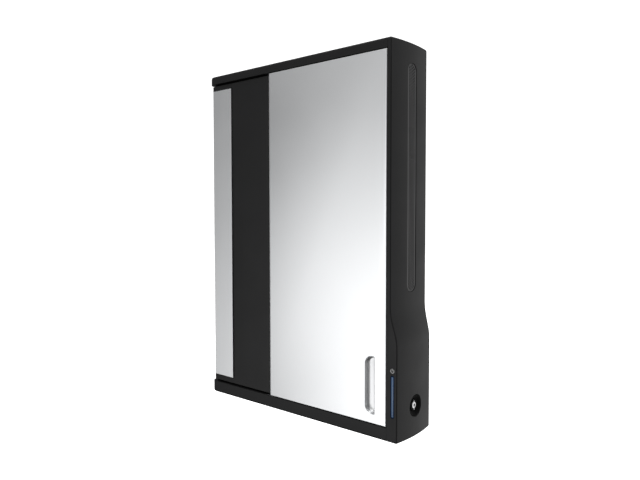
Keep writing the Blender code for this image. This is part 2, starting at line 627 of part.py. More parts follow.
# ---- power bay ----------------------------------------------------------------------------
def build_power_bay(rocker_pivot, fan_pivot):
    make("power_supply", "steel", box(-235, -115, -75, BACK_Y - GAP, -230, -20))
    for name, z in (("charge_hub_lower", 30.0), ("charge_hub_upper", 190.0)):
        ports = [box(-103, -96, -52, -40, z + 14 + 21 * i, z + 19.5 + 21 * i) for i in range(6)]
        make(name, "black_plastic", box(-180, -100, -60, BACK_Y - GAP, z, z + 140), cut=[ports])
    board = box(-235, -195, -28, -26.4, 40, 160)
    standoffs = [rod("y", (x, z), 3.0, -27, BACK_Y - GAP, 8) for x in (-230, -200) for z in (45, 155)]
    make("control_board", "board", board, add=standoffs)

    base = -HALF_HEIGHT
    flange = box(INLET_X - 24.2, INLET_X + 24.2, INLET_Y - 14.2, INLET_Y + 14.2, base + 0.5, base + 3)
    barrel = box(INLET_X - 14, INLET_X + 14, INLET_Y - 10.5, INLET_Y + 10.5, base + 2, base + 46)
    socket = box(INLET_X - 12, INLET_X + 12, INLET_Y - 8, INLET_Y + 8, base - 2, base + 18)
    make("power_inlet", "black_plastic", flange, add=[barrel], cut=[[socket]])

    frame = box(SWITCH_X - 7.5, SWITCH_X + 7.5, INLET_Y - 11, INLET_Y + 11, base + 0.5, base + 34)
    well = box(SWITCH_X - 6.2, SWITCH_X + 6.2, INLET_Y - 9.6, INLET_Y + 9.6, base - 2, base + 12)
    make("switch_frame", "black_plastic", frame, cut=[[well]])
    y, z = INLET_Y, base + ROCKER_HEIGHT
    rocker = [(y - 8.0, z - 2.0), (y, z - 3.2), (y + 8.0, z - 5.4), (y + 8.0, z + 1.0), (y, z + 4.0),
              (y - 8.0, z + 3.2)]
    make("power_rocker", "soft_black", prism(rocker, "x", SWITCH_X - 5.8, SWITCH_X + 5.8),
         pivot=rocker_pivot)

    half = FAN_SIZE / 2
    x0 = RIGHT_WALL + GAP
    tube = turned_x((VENT_Y, FAN_Z), [(x0 + 1.5, 4), (x0 + 1.5, 27.6), (x0 + 20, 27.6), (x0 + 20, 4)], 28)
    boss_end = rod("x", (VENT_Y, FAN_Z), 5.0, x0 + 6, x0 + 20, 16)
    make("fan_frame", "black_plastic",
         box(x0, x0 + 10, VENT_Y - half, VENT_Y + half, FAN_Z - half, FAN_Z + half),
         cut=[[tube], [boss_end], fan_windows(x0)], smooth=True)
    hub = rod("x", (VENT_Y, FAN_Z), 12.0, x0 + 2.2, x0 + 9.5, 20)
    blades = [fan_blade(x0 + 3.0, turn * 360 / 7) for turn in range(7)]
    spindle = rod("x", (VENT_Y, FAN_Z), 4.3, x0, x0 + 6.3, 16)
    make("fan_rotor", "black_plastic", hub, add=blades, cut=[[spindle]], pivot=fan_pivot, smooth=True)


def fan_windows(x0):
    """Four quarter openings in the fan's rear plate, which leave a hub plate and four ribs."""
    groups = []
    for quarter in range(4):
        start = quarter * 90 + 7
        ring = (arc(VENT_Y, FAN_Z, FAN_OPENING, start + 2, start + 74, 6)
                + arc(VENT_Y, FAN_Z, 13.5, start + 74, start + 2, 4))
        groups.append(prism(ring, "x", x0 - 5, x0 + 2.0))
    return groups


def fan_blade(x, turn):
    """A thin slanted blade from inside the hub to near the frame."""
    inner, outer, rise, wall = 10.0, 25.8, 5.6, 1.2
    angle = math.radians(turn)
    radial = (math.cos(angle), math.sin(angle))
    side = (-radial[1], radial[0])
    rings = []
    for r, half in ((inner, 3.2), (outer, 6.5)):
        ring = []
        for s, dx in ((-half, 0.0), (half, rise), (half + wall, rise), (-half + wall, 0.0)):
            ring.append((x + dx, VENT_Y + r * radial[0] + s * side[0], FAN_Z + r * radial[1] + s * side[1]))
        rings.append(ring)
    return loft(rings)


def lead(name, points, radius):
    """A wire along a smooth path, as a capped tube."""
    curve = bpy.data.curves.new(name, "CURVE")
    curve.dimensions = "3D"
    curve.bevel_depth = radius * MM
    curve.bevel_resolution = 2
    curve.use_fill_caps = True
    smooth = smooth_path(points, 8)
    spline = curve.splines.new("POLY")
    spline.points.add(len(smooth) - 1)
    for knot, point in zip(spline.points, smooth):
        knot.co = (*(Vector(point) * MM), 1.0)
    curve.materials.append(MATERIALS["rubber"])
    link(name, curve)


def smooth_path(points, steps):
    """Catmull-Rom curve through the points."""
    knots = [Vector(p) for p in points]
    knots = [2 * knots[0] - knots[1]] + knots + [2 * knots[-1] - knots[-2]]
    path = []
    for i in range(1, len(knots) - 2):
        a, b, c, d = knots[i - 1:i + 3]
        for s in range(steps):
            t = s / steps
            path.append(0.5 * (2 * b + (c - a) * t + (2 * a - 5 * b + 4 * c - d) * t * t
                               + (3 * b - a - 3 * c + d) * t ** 3))
    path.append(knots[-2])
    return path


def build_leads():
    lead("mains_lead", [(INLET_X, INLET_Y, -335.2), (INLET_X, INLET_Y, -315), (-180, -50, -285),
                        (-190, -42, -255), (-190, -42, -230.5)], 3.0)
    lead("output_lead", [(-150, -40, -19.5), (-150, -40, -10), (-148, -36, 10), (-146, -34, 20),
                         (-146, -34, 29.5)], 2.5)


# ---- assembly -----------------------------------------------------------------------------
for old in list(bpy.data.objects):
    bpy.data.objects.remove(old)
MATERIALS = {name: material(name, *paint) for name, paint in PAINTS.items()}
door_axis = axis_empty("door_axis", *DOOR_AXIS, 0)
access_axis = axis_empty("access_axis", *PANEL_AXIS, 0)
lock_axis = axis_empty("lock_axis", LOCK_FACE, LOCK_Y, LOCK_Z)
latch_axis = axis_empty("latch_axis", -55, LATCH_Y, LATCH_Z)
rocker_axis = axis_empty("rocker_axis", SWITCH_X, INLET_Y, -HALF_HEIGHT + ROCKER_HEIGHT)
fan_axis = axis_empty("fan_axis", RIGHT_WALL, VENT_Y, FAN_Z)

build_wall_bracket()
build_chassis()
build_partition()
build_caps()
build_side_housing()
build_vent_and_signals()
build_rack()
build_door_stop()
build_door_brackets()
build_door(door_axis)
build_access_door(access_axis)
build_latch(latch_axis)
build_lock(lock_axis)
build_power_bay(rocker_axis, fan_axis)
build_leads()
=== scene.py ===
"""Looks of the tablet charging cabinet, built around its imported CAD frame.

Shapes are written in millimetres of the CAD's own frame (+Z up, doors face -Y, wall at Y = 0)
and turned into metres by MM when a mesh is made.
"""
import json
import math
import random

import bmesh
import bpy
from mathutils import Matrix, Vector


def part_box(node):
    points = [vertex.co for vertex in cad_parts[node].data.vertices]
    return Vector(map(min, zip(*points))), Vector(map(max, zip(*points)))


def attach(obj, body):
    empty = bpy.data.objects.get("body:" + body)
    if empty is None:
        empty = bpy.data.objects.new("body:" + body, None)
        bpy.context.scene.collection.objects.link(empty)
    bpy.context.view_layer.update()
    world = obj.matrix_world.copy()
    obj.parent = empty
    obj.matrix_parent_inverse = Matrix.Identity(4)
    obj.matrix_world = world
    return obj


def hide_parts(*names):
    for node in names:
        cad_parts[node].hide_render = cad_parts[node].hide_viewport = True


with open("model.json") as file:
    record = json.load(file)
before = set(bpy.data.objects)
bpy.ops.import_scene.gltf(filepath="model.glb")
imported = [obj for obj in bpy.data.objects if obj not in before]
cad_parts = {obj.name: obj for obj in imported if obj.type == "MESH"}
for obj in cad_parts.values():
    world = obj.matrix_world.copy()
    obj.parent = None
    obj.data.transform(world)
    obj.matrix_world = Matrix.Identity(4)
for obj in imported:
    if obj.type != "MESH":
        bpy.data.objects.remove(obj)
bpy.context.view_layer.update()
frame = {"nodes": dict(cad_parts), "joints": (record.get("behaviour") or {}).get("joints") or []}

MM = 0.001
NODES = frame["nodes"]


def span(node):
    """Lowest and highest corner of a CAD node, in millimetres."""
    low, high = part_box(node)
    return low / MM, high / MM


# ---- driving dimensions, from the frame -----------------------------------------------------
SIDE_LOW, SIDE_HIGH = span("side_housing")
HALF = SIDE_HIGH.z
FRONT = SIDE_LOW.y
SEAM = SIDE_LOW.x
BULGE, TAPER, BARREL = 15.5, 0.3, 6.0
BULGE_TOP, BULGE_BOTTOM = -126.0, -190.0
BULGE_EASE = 9.0  # how far either way the two ends of the bulge are eased
CORNER_X = 260.0
FRONT_RADIUS, REAR_RADIUS = 2.5, 9.0
EDGE = 5.5  # round of the cabinet's top and bottom edges
SHELL = 3.0
FIT = 0.3  # gap round a part that sits in an opening
DOOR_REAR = -112.0
CAP_LEFT = span("top_cap")[0].x
CAP_UNDER = 362.8
BASE_TOP = -355.0
DOOR_LOW, DOOR_HIGH = span("door_skin")
DOOR_AXIS = Vector(frame["joints"][0]["pos_m"]) / MM
PANEL_AXIS = Vector(frame["joints"][1]["pos_m"]) / MM
PANEL_LOW, PANEL_HIGH = span("access_door")
VENT_LOW, VENT_HIGH = span("vent_grille")
LOCK = Vector(frame["joints"][3]["pos_m"]) / MM
LIGHT_LOW, LIGHT_HIGH = span("status_light")
SYMBOL_LOW, SYMBOL_HIGH = span("power_symbol_lens")
SYMBOL_X = (SYMBOL_LOW.x + SYMBOL_HIGH.x) / 2
SYMBOL_Z = (SYMBOL_LOW.z + SYMBOL_HIGH.z) / 2
ROSETTE = (span("lock_escutcheon")[1].y - span("lock_escutcheon")[0].y) / 2
VENT_Y = (VENT_LOW.y + VENT_HIGH.y) / 2
VENT_WIDTH = VENT_HIGH.y - VENT_LOW.y + 2 * FIT
VENT_Z = (VENT_LOW.z - FIT, VENT_HIGH.z + FIT)
DOOR_ROLL = DOOR_AXIS.x - DOOR_LOW.x
PULL_LOW, PULL_HIGH = span("finger_pull")

# ---- places of the inner parts, which the fittings below follow -------------------------------
SHELF_TILT = math.radians(62.0)
SHELF_Y, LOWEST_SHELF, SHELF_PITCH, SHELVES = -23.0, -342.0, 44.0, 12
PORTS, FIRST_PORT, PORT_PITCH = 6, 14, 21
WINDOW_HEIGHTS, WINDOW_HALF = (-200, 20, 240), 40
WINDOW_REAR, WINDOW_FRONT = -45, -75
BOLT_X, BOLT_Z = 160, 250
FAN_WALL = 247.45
BACK = -5.5  # rear face of the chassis


# ---- shapes: each returns (vertices, faces) in millimetres ----------------------------------
# A point from its place t along an axis and its other two coordinates.
PLACES = {
    "x": lambda t, a, b: (t, a, b),
    "y": lambda t, a, b: (a, t, b),
    "z": lambda t, a, b: (a, b, t),
}


def loft(rings, closed_ends=True):
    """Skin over rings of equally many points, closed at both ends."""
    count = len(rings[0])
    verts = [point for ring in rings for point in ring]
    faces = []
    for level in range(len(rings) - 1):
        low = level * count
        for i in range(count):
            j = (i + 1) % count
            faces.append((low + i, low + j, low + count + j, low + count + i))
    if closed_ends:
        faces.append(tuple(reversed(range(count))))
        faces.append(tuple(range(len(verts) - count, len(verts))))
    return verts, faces


def prism(outline, axis, low, high):
    """An outline pulled straight along an axis."""
    place = PLACES[axis]
    return loft([[place(t, a, b) for a, b in outline] for t in (low, high)])


def box(x0, x1, y0, y1, z0, z1):
    return prism([(x0, y0), (x1, y0), (x1, y1), (x0, y1)], "z", z0, z1)


def arc(cx, cy, radius, start, end, steps):
    turns = [math.radians(start + (end - start) * i / steps) for i in range(steps + 1)]
    return [(cx + radius * math.cos(t), cy + radius * math.sin(t)) for t in turns]


def rod(axis, centre, radius, low, high, steps=24):
    return prism(arc(centre[0], centre[1], radius, 0, 360 - 360 / steps, steps - 1), axis, low, high)


def turned(axis, centre, profile, steps=48):
    """A closed ring turned about an axis. The profile is (place along the axis, radius)."""
    place = PLACES[axis]
    count = len(profile)
    verts, faces = [], []
    for i in range(steps):
        turn = 2 * math.pi * i / steps
        verts += [place(t, centre[0] + r * math.cos(turn), centre[1] + r * math.sin(turn))
                  for t, r in profile]
        for k in range(count):
            a, b = i * count, (i + 1) % steps * count
            m = (k + 1) % count
            faces.append((a + k, a + m, b + m, b + k))
    return verts, faces


def slot_outline(centre, width, low, high, steps=16):
    """An upright slot with round ends."""
    radius = width / 2
    return (arc(centre, low + radius, radius, 180, 360, steps)
            + arc(centre, high - radius, radius, 0, 180, steps))


def rounded_box(x0, x1, y0, y1, z0, z1, radius=0.6):
    """A box whose edges are bevelled, as (vertices, faces)."""
    bm = bmesh.new()
    bmesh.ops.create_cube(bm, size=1.0)
    size = Vector((x1 - x0, y1 - y0, z1 - z0))
    middle = Vector((x0 + x1, y0 + y1, z0 + z1)) / 2
    for v in bm.verts:
        v.co = middle + Vector(a * b for a, b in zip(v.co, size))
    bmesh.ops.bevel(bm, geom=bm.edges[:], offset=radius, segments=2, profile=0.5, affect="EDGES")
    bm.verts.index_update()
    shape = ([tuple(v.co) for v in bm.verts], [tuple(v.index for v in f.verts) for f in bm.faces])
    bm.free()
    return shape


def mesh_of(name, shapes):
    """One mesh from several shapes, in metres, with its faces turned outwards."""
    verts, faces = [], []
    for points, sides in shapes:
        start = len(verts)
        verts += points
        faces += [tuple(start + i for i in side) for side in sides]
    mesh = bpy.data.meshes.new(name)
    mesh.from_pydata([Vector(p) * MM for p in verts], [], faces)
    bm = bmesh.new()
    bm.from_mesh(mesh)
    bmesh.ops.recalc_face_normals(bm, faces=bm.faces)
    bm.to_mesh(mesh)
    bm.free()
    return mesh


def link(name, data):
    obj = bpy.data.objects.new(name, data)
    bpy.context.scene.collection.objects.link(obj)
    return obj


def carve(name, shape, groups):
    """The shape's mesh after cutting each group of shapes out of it in turn."""
    obj = link(name, mesh_of(name, [shape]))
    tools = [link("tool", mesh_of("tool", group)) for group in groups]
    for tool in tools:
        modifier = obj.modifiers.new("cut", "BOOLEAN")
        modifier.operation = "DIFFERENCE"
        modifier.solver = "EXACT"
        modifier.object = tool
    bpy.context.view_layer.update()
    graph = bpy.context.evaluated_depsgraph_get()
    mesh = bpy.data.meshes.new_from_object(obj.evaluated_get(graph))
    for old in [obj] + tools:
        bpy.data.objects.remove(old)
    return mesh


def piece(name, mesh, mat, body="cabinet", replaces=(), bevel=0.0, sharp=32):
    """Puts a finished mesh in the scene: material, smoothing, the body it rides on."""
    obj = link(name, mesh)
    mesh.materials.clear()
    mesh.materials.append(mat)
    mesh.shade_smooth()
    mesh.set_sharp_from_angle(angle=math.radians(sharp))
    if bevel:
        soften(obj, bevel)
    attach(obj, body)
    if replaces:
        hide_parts(*replaces)
    return obj


def soften(obj, width):
    """Small rounds on an object's sharp edges, after joining its coplanar triangles."""
    flat = obj.modifiers.new("flat", "DECIMATE")
    flat.decimate_type = "DISSOLVE"
    flat.angle_limit = math.radians(1.0)
    bevel = obj.modifiers.new("soft_edges", "BEVEL")
    bevel.width = width * MM
    bevel.segments = 2
    bevel.limit_method = "ANGLE"
    bevel.angle_limit = math.radians(35)
    bevel.harden_normals = True
    bevel.miter_outer = "MITER_ARC"


def finish_node(node, mat, bevel=0.0):
    """A CAD node that stays: its triangles are welded, its edges softened, its material set."""
    obj = NODES[node]
    mesh = obj.data
    if "custom_normal" in mesh.attributes:
        mesh.attributes.remove(mesh.attributes["custom_normal"])
    mesh.materials.clear()
    mesh.materials.append(mat)
    mesh.shade_smooth()
    weld = obj.modifiers.new("weld", "WELD")
    weld.merge_threshold = 0.00001
    if bevel:
        soften(obj, bevel)
    else:
        mesh.shade_flat()


# ---- materials ------------------------------------------------------------------------------
class Nodes:
    """A short way to write a material's node tree."""

    def __init__(self, name):
        self.mat = bpy.data.materials.new(name)
        self.mat.use_nodes = True
        self.tree = self.mat.node_tree
        self.shader = self.tree.nodes["Principled BSDF"]
        self.place = self.add("ShaderNodeTexCoord").outputs["Object"]

    def add(self, kind, **values):
        node = self.tree.nodes.new(kind)
        for key, value in values.items():
            if key in node.inputs:
                node.inputs[key].default_value = value
            else:
                setattr(node, key, value)
        return node

    def join(self, out, node, socket):
        self.tree.links.new(out, node.inputs[socket])

    def noise(self, scale, detail=3.0, stretch=(1, 1, 1), rough=0.5):
        mapping = self.add("ShaderNodeMapping")
        mapping.inputs["Scale"].default_value = stretch
        self.join(self.place, mapping, "Vector")
        noise = self.add("ShaderNodeTexNoise", Scale=scale, Detail=detail, Roughness=rough)
        self.join(mapping.outputs[0], noise, "Vector")
        return noise.outputs["Fac"]

    def ranged(self, value, low, high, start=0.3, end=0.7):
        node = self.add("ShaderNodeMapRange")
        for key, number in (("From Min", start), ("From Max", end), ("To Min", low), ("To Max", high)):
            node.inputs[key].default_value = number
        self.join(value, node, "Value")
        return node.outputs["Result"]

    def blend(self, value, first, second):
        node = self.add("ShaderNodeMix", data_type="RGBA")
        node.inputs[6].default_value = (*first, 1)
        node.inputs[7].default_value = (*second, 1)
        self.join(value, node, 0)
        return node.outputs[2]

    def colour(self, out):
        self.join(out, self.shader, "Base Color")

    def roughness(self, out):
        self.join(out, self.shader, "Roughness")

    def bump(self, out, strength, distance):
        node = self.add("ShaderNodeBump", Strength=strength, Distance=distance)
        self.join(out, node, "Height")
        if self.shader.inputs["Normal"].links:
            self.join(self.shader.inputs["Normal"].links[0].from_socket, node, "Normal")
        self.join(node.outputs[0], self.shader, "Normal")


def moulded(name, colour, rough, specular, grain=0.1):
    """Injection moulded plastic: fine spark-eroded grain, faint handling marks."""
    n = Nodes(name)
    marks = n.noise(9.0, 4.0)
    n.colour(n.blend(n.ranged(marks, 0, 1), [c * 0.9 for c in colour], [c * 1.12 for c in colour]))
    n.roughness(n.ranged(n.noise(14.0, 5.0), rough - 0.035, rough + 0.045))
    n.bump(n.noise(1500.0, 2.0), grain, 0.00006)
    n.bump(n.noise(420.0, 2.0), grain * 0.6, 0.00008)
    n.shader.inputs["Specular IOR Level"].default_value = specular
    return n.mat


def satin_metal(name, colour, rough):
    """Anodised or plated metal with a faint drawn grain and slow changes of sheen."""
    n = Nodes(name)
    lines = n.noise(2600.0, 2.0, (1, 1, 0.02))
    n.colour(n.blend(n.ranged(lines, 0, 1), [c * 0.975 for c in colour], colour))
    n.roughness(n.ranged(n.noise(5.0, 3.0), rough - 0.02, rough + 0.02))
    n.bump(lines, 0.03, 0.00003)
    n.shader.inputs["Metallic"].default_value = 1.0
    return n.mat


def powder_coat(name, colour, rough=0.5):
    """Powder coat on sheet steel: a low orange peel."""
    n = Nodes(name)
    n.colour(n.blend(n.ranged(n.noise(6.0, 4.0), 0, 1),
                     [c * 0.92 for c in colour], [c * 1.08 for c in colour]))
    n.roughness(n.ranged(n.noise(30.0, 3.0), rough - 0.05, rough + 0.05))
    n.bump(n.noise(900.0, 2.0), 0.12, 0.00008)
    return n.mat


def zinc(name, colour, rough):
    """Bright zinc on pressed steel, slightly spangled."""
    n = Nodes(name)
    n.colour(n.blend(n.ranged(n.noise(160.0, 3.0), 0, 1), [c * 0.86 for c in colour], colour))
    n.roughness(n.ranged(n.noise(90.0, 4.0), rough - 0.06, rough + 0.1))
    n.bump(n.noise(700.0, 2.0), 0.06, 0.00005)
    n.shader.inputs["Metallic"].default_value = 1.0
    return n.mat


def rubbery(name, colour, rough=0.75):
    """Rubber and soft jackets: dull, with a low uneven grain."""
    n = Nodes(name)
    n.colour(n.blend(n.ranged(n.noise(25.0, 3.0), 0, 1),
                     [c * 0.85 for c in colour], [c * 1.15 for c in colour]))
    n.roughness(n.ranged(n.noise(80.0, 3.0), rough - 0.08, rough + 0.08))
    n.bump(n.noise(1200.0, 2.0), 0.15, 0.00008)
    return n.mat


def lit(name, colour, glow, strength):
    """A light guide with an even soft glow."""
    n = Nodes(name)
    n.colour(n.blend(n.ranged(n.noise(40.0), 0, 1), [c * 0.85 for c in colour], colour))
    n.roughness(n.ranged(n.noise(200.0), 0.25, 0.33))
    n.shader.inputs["Emission Color"].default_value = (*glow, 1)
    n.shader.inputs["Emission Strength"].default_value = strength
    return n.mat


def board_green(name):
    """Solder mask over a pattern of straight traces."""
    n = Nodes(name)
    brick = n.add("ShaderNodeTexBrick", Scale=120.0)
    n.join(n.place, brick, "Vector")
    n.colour(n.blend(n.ranged(brick.outputs["Fac"], 0, 1, 0, 1),
                     (0.012, 0.075, 0.03), (0.03, 0.16, 0.07)))
    n.roughness(n.ranged(n.noise(60.0), 0.3, 0.45))
    n.bump(brick.outputs["Fac"], 0.1, 0.00005)
    return n.mat


BLACK = moulded("black_moulding", (0.0098, 0.0098, 0.0102), 0.40, 0.17)
VENT_BLACK = moulded("vent_black", (0.034, 0.034, 0.035), 0.42, 0.45, 0.05)
SILVER = satin_metal("silver_panel", (0.79, 0.80, 0.81), 0.33)
# The finger pull's cup gets a darker silver than the door: this is painted shade for the recess it sits in,
# not a different metal.
CUP_SHADE_DARKENED = satin_metal("grip_cup", (0.62, 0.625, 0.63), 0.34)
DARK_SHEET = powder_coat("dark_sheet", (0.045, 0.046, 0.05))
ZINC = zinc("zinc_steel", (0.50, 0.51, 0.53), 0.36)
NICKEL = zinc("nickel", (0.78, 0.78, 0.79), 0.2)
LOCK_BLACK = moulded("lock_black", (0.0018, 0.0018, 0.0018), 0.6, 0.05, 0.03)
SHELF_GREY = moulded("shelf_grey", (0.16, 0.165, 0.175), 0.46, 0.45)
RUBBER = rubbery("rubber", (0.018, 0.018, 0.019))
JACKET = rubbery("lead_jacket", (0.014, 0.014, 0.016), 0.5)
NYLON = moulded("nylon", (0.62, 0.61, 0.57), 0.5, 0.4, 0.05)
SUPPLY = powder_coat("supply_case", (0.10, 0.10, 0.105), 0.42)
BOARD = board_green("board")
INSERT = moulded("black_insert", (0.010, 0.010, 0.011), 0.3, 0.5, 0.04)
LIGHT = lit("light_bar", (0.035, 0.075, 0.15), (0.07, 0.15, 0.32), 0.14)
WINDOW = moulded("light_window", (0.002, 0.009, 0.028), 0.5, 0.03, 0.02)
SYMBOL = moulded("symbol_grey", (0.36, 0.36, 0.36), 0.5, 0.3, 0.02)


# ---- outer body -----------------------------------------------------------------------------
def bulge_at(z):
    """How far the lower body steps out at a height, averaged over a short reach to ease it."""
    total = 0.0
    for k in range(-3, 4):
        t = min(max((BULGE_TOP - z - BULGE_EASE * k / 3) / (BULGE_TOP - BULGE_BOTTOM), 0.0), 1.0)
        total += BULGE * t * t * (2.2 - 1.2 * t)
    return total / 7


def side_x(y, z):
    """X of the bowed right side at a place on it."""
    half = FRONT / 2
    step = bulge_at(z) * (1 - TAPER * (FRONT - y) / FRONT)
    return CORNER_X + step + BARREL * (1 - ((y - half) / half) ** 2)


def rounded_levels(low, high, round_low, round_high, middle=(), steps=8):
    """Heights of a loft, each with the inset that rounds its lower and upper edges."""
    turns = [math.pi / 2 * i / steps for i in range(steps + 1)]
    levels = [(low, 0.0)]
    if round_low:
        levels = [(low + EDGE * (1 - math.cos(t)), EDGE * (1 - math.sin(t))) for t in turns]
    levels += [(z, 0.0) for z in middle]
    if not round_high:
        return levels + [(high, 0.0)]
    return levels + [(high - EDGE * (1 - math.sin(t)), EDGE * (1 - math.cos(t))) for t in turns]


def housing_ring(z, inset, rows=22):
    """Outline of the side housing at a height: seam, front edge, bowed side, rear round."""
    front = FRONT + inset
    corner, rear = max(FRONT_RADIUS - inset, 0.4), REAR_RADIUS
    points = [(SEAM, 0.0), (SEAM, front)]
    edge = side_x(FRONT + FRONT_RADIUS, z) - inset
    points += arc(edge - corner, front + corner, corner, 270, 360, 6)
    for i in range(1, rows + 1):
        y = FRONT + FRONT_RADIUS + (-rear - FRONT - FRONT_RADIUS) * i / rows
        points.append((side_x(y, z) - inset, max(y, front + corner + i * 0.3)))
    middle = side_x(-rear, z) - rear
    points += [(middle + (rear - inset) / rear * x, y) for x, y in arc(0, -rear, rear, 0, 90, 9)[1:]]
    return [(x, y, z) for x, y in points]


def housing_hollow(z, rows=12):
    """Outline of the room inside the side housing, open towards the chassis."""
    flange = SEAM + 2.5
    points = [(SEAM - 10, DOOR_REAR), (flange, DOOR_REAR), (flange, FRONT + SHELL)]
    for i in range(rows + 1):
        y = FRONT + SHELL + (-FRONT - REAR_RADIUS - SHELL) * i / rows
        points.append((side_x(y, z) - SHELL, y))
    points += [(side_x(0, z) - REAR_RADIUS, -SHELL), (SEAM - 10, -SHELL)]
    return [(x, y, z) for x, y in points]


def bulge_levels(steps):
    low, high = BULGE_BOTTOM - BULGE_EASE, BULGE_TOP + BULGE_EASE
    return [low + (high - low) * i / steps for i in range(steps + 1)]


def flared_slot(depth, lip):
    """Cutter of the vent: straight inside, opening out at the surface by a small chamfer."""
    edge = side_x(VENT_Y + VENT_WIDTH / 2, 0)
    rings = []
    for x, grow in ((edge - depth, 0.0), (edge - lip, 0.0), (edge + 4, lip + 4)):
        outline = slot_outline(VENT_Y, VENT_WIDTH + 2 * grow, VENT_Z[0] - grow, VENT_Z[1] + grow)
        rings.append([(x, a, b) for a, b in outline])
    return loft(rings)


def build_side():
    """Side housing, with its openings for the vent, the lock and the signals."""
    levels = rounded_levels(-HALF, HALF, True, True, bulge_levels(32))
    inner = [-HALF + SHELL] + bulge_levels(12) + [HALF - SHELL]
    hole = ROSETTE + FIT
    lock = loft([[(x, a, b) for a, b in arc(LOCK.y, LOCK.z, r, 0, 356, 89)]
                 for x, r in ((CORNER_X, hole), (LOCK.x + 0.1, hole), (LOCK.x + 6.1, hole + 6))])
    window = prism(slot_outline(SYMBOL_X, 8.8, LIGHT_LOW.z - 3, LIGHT_HIGH.z + 3, 8),
                   "y", FRONT - 5, FRONT + 1.2)
    light = box(LIGHT_LOW.x - FIT, LIGHT_HIGH.x + FIT, FRONT - 5, FRONT + 6,
                LIGHT_LOW.z - FIT, LIGHT_HIGH.z + FIT)
    symbol = rod("y", (SYMBOL_X, SYMBOL_Z), 5.6, FRONT - 5, FRONT + 6, 40)
    hollow = loft([housing_hollow(z) for z in inner])
    mesh = carve("side_shell", loft([housing_ring(z, i) for z, i in levels]),
                 [[hollow], [flared_slot(14, 0.9), lock, window, symbol], [light]])
    piece("side_shell", mesh, BLACK, replaces=["side_housing"], sharp=28)


def cap_ring(z, inset):
    """Outline of a cap at a height, with its wide left front corner."""
    front_corner, rear_corner = 18.0, 5.0
    seam = SEAM - FIT
    points = [(seam, 0.0)]
    points += arc(CAP_LEFT + rear_corner, -rear_corner, rear_corner - inset * 0.85, 90, 180, 6)
    points += arc(CAP_LEFT + front_corner, FRONT + front_corner, front_corner - inset, 180, 270, 20)
    points.append((seam, FRONT + inset))
    return [(x, y, z) for x, y in points]


def build_caps():
    """Top and bottom cap, hollow towards the chassis, with a round boss for the access pins."""
    tray = (CAP_LEFT + 6, SEAM - 4)
    fittings = (span("power_inlet"), span("switch_frame"))
    pin_hole = 2.3
    for name, low, high, top in (("top_cap", CAP_UNDER, HALF, True),
                                 ("bottom_cap", -HALF, BASE_TOP, False)):
        sign = 1 if top else -1
        face = low if top else high
        rings = [cap_ring(z, i) for z, i in rounded_levels(low, high, not top, top)]
        floor = (high if top else low) - sign * SHELL
        lip = face + sign * 3.5
        hollow = box(*tray, -99, -6, *sorted((face - sign, floor)))
        channel = box(*tray, FRONT + SHELL + 0.5, -95, *sorted((lip, floor)))
        through = sorted((face - sign, lip + sign))
        hinge = box(DOOR_AXIS.x - 21, DOOR_AXIS.x + 20, FRONT + SHELL, -90, *through)
        pivot = rod("z", PANEL_AXIS.xy, pin_hole, *through)
        groups = [[hollow], [channel], [hinge, pivot]]
        if not top:
            groups.append([box(a.x - FIT, b.x + FIT, a.y - FIT, b.y + FIT, low - 1, low + 6)
                           for a, b in fittings])
        piece(name + "_shell", carve(name, loft(rings), groups), BLACK, replaces=[name],
              sharp=28)
        end = (PANEL_HIGH.z + FIT) if top else (PANEL_LOW.z - FIT)
        root = face - sign * 0.05
        boss = turned("z", PANEL_AXIS.xy, [(end, pin_hole), (end, 4.5), (end + sign * 0.5, 5.0),
                                           (root, 5.0), (root, pin_hole)], 32)
        piece(name + "_pivot_boss", mesh_of("boss", [boss]), BLACK)


def build_grille():
    """Recessed plate with staggered round holes."""
    x1 = VENT_HIGH.x + 1.9
    x0 = x1 - 0.7
    outline = slot_outline(VENT_Y, VENT_WIDTH - 2 * FIT, VENT_Z[0] + FIT, VENT_Z[1] - FIT, 12)
    period, column, radius = 5.7, 4.3, 1.95
    end = VENT_WIDTH / 2
    reach = end - radius - 1.1
    holes = []
    columns = int(reach // column)
    rows = int((VENT_Z[1] - VENT_Z[0]) // period) + 1
    for c in range(-columns, columns + 1):
        for r in range(rows):
            z = VENT_Z[0] + 3.4 + period * (r + 0.5 * (c % 2))
            y = VENT_Y + c * column
            past = max(VENT_Z[0] + end - z, z - VENT_Z[1] + end, 0)
            if math.hypot(y - VENT_Y, past) < reach + 0.6:
                holes.append(rod("x", (y, z), radius, x0 - 2, x1 + 2, 8))
    mesh = carve("perforated_grille", prism(outline, "x", x0, x1), [holes])
    piece("perforated_grille", mesh, VENT_BLACK, replaces=["vent_grille"], sharp=40)


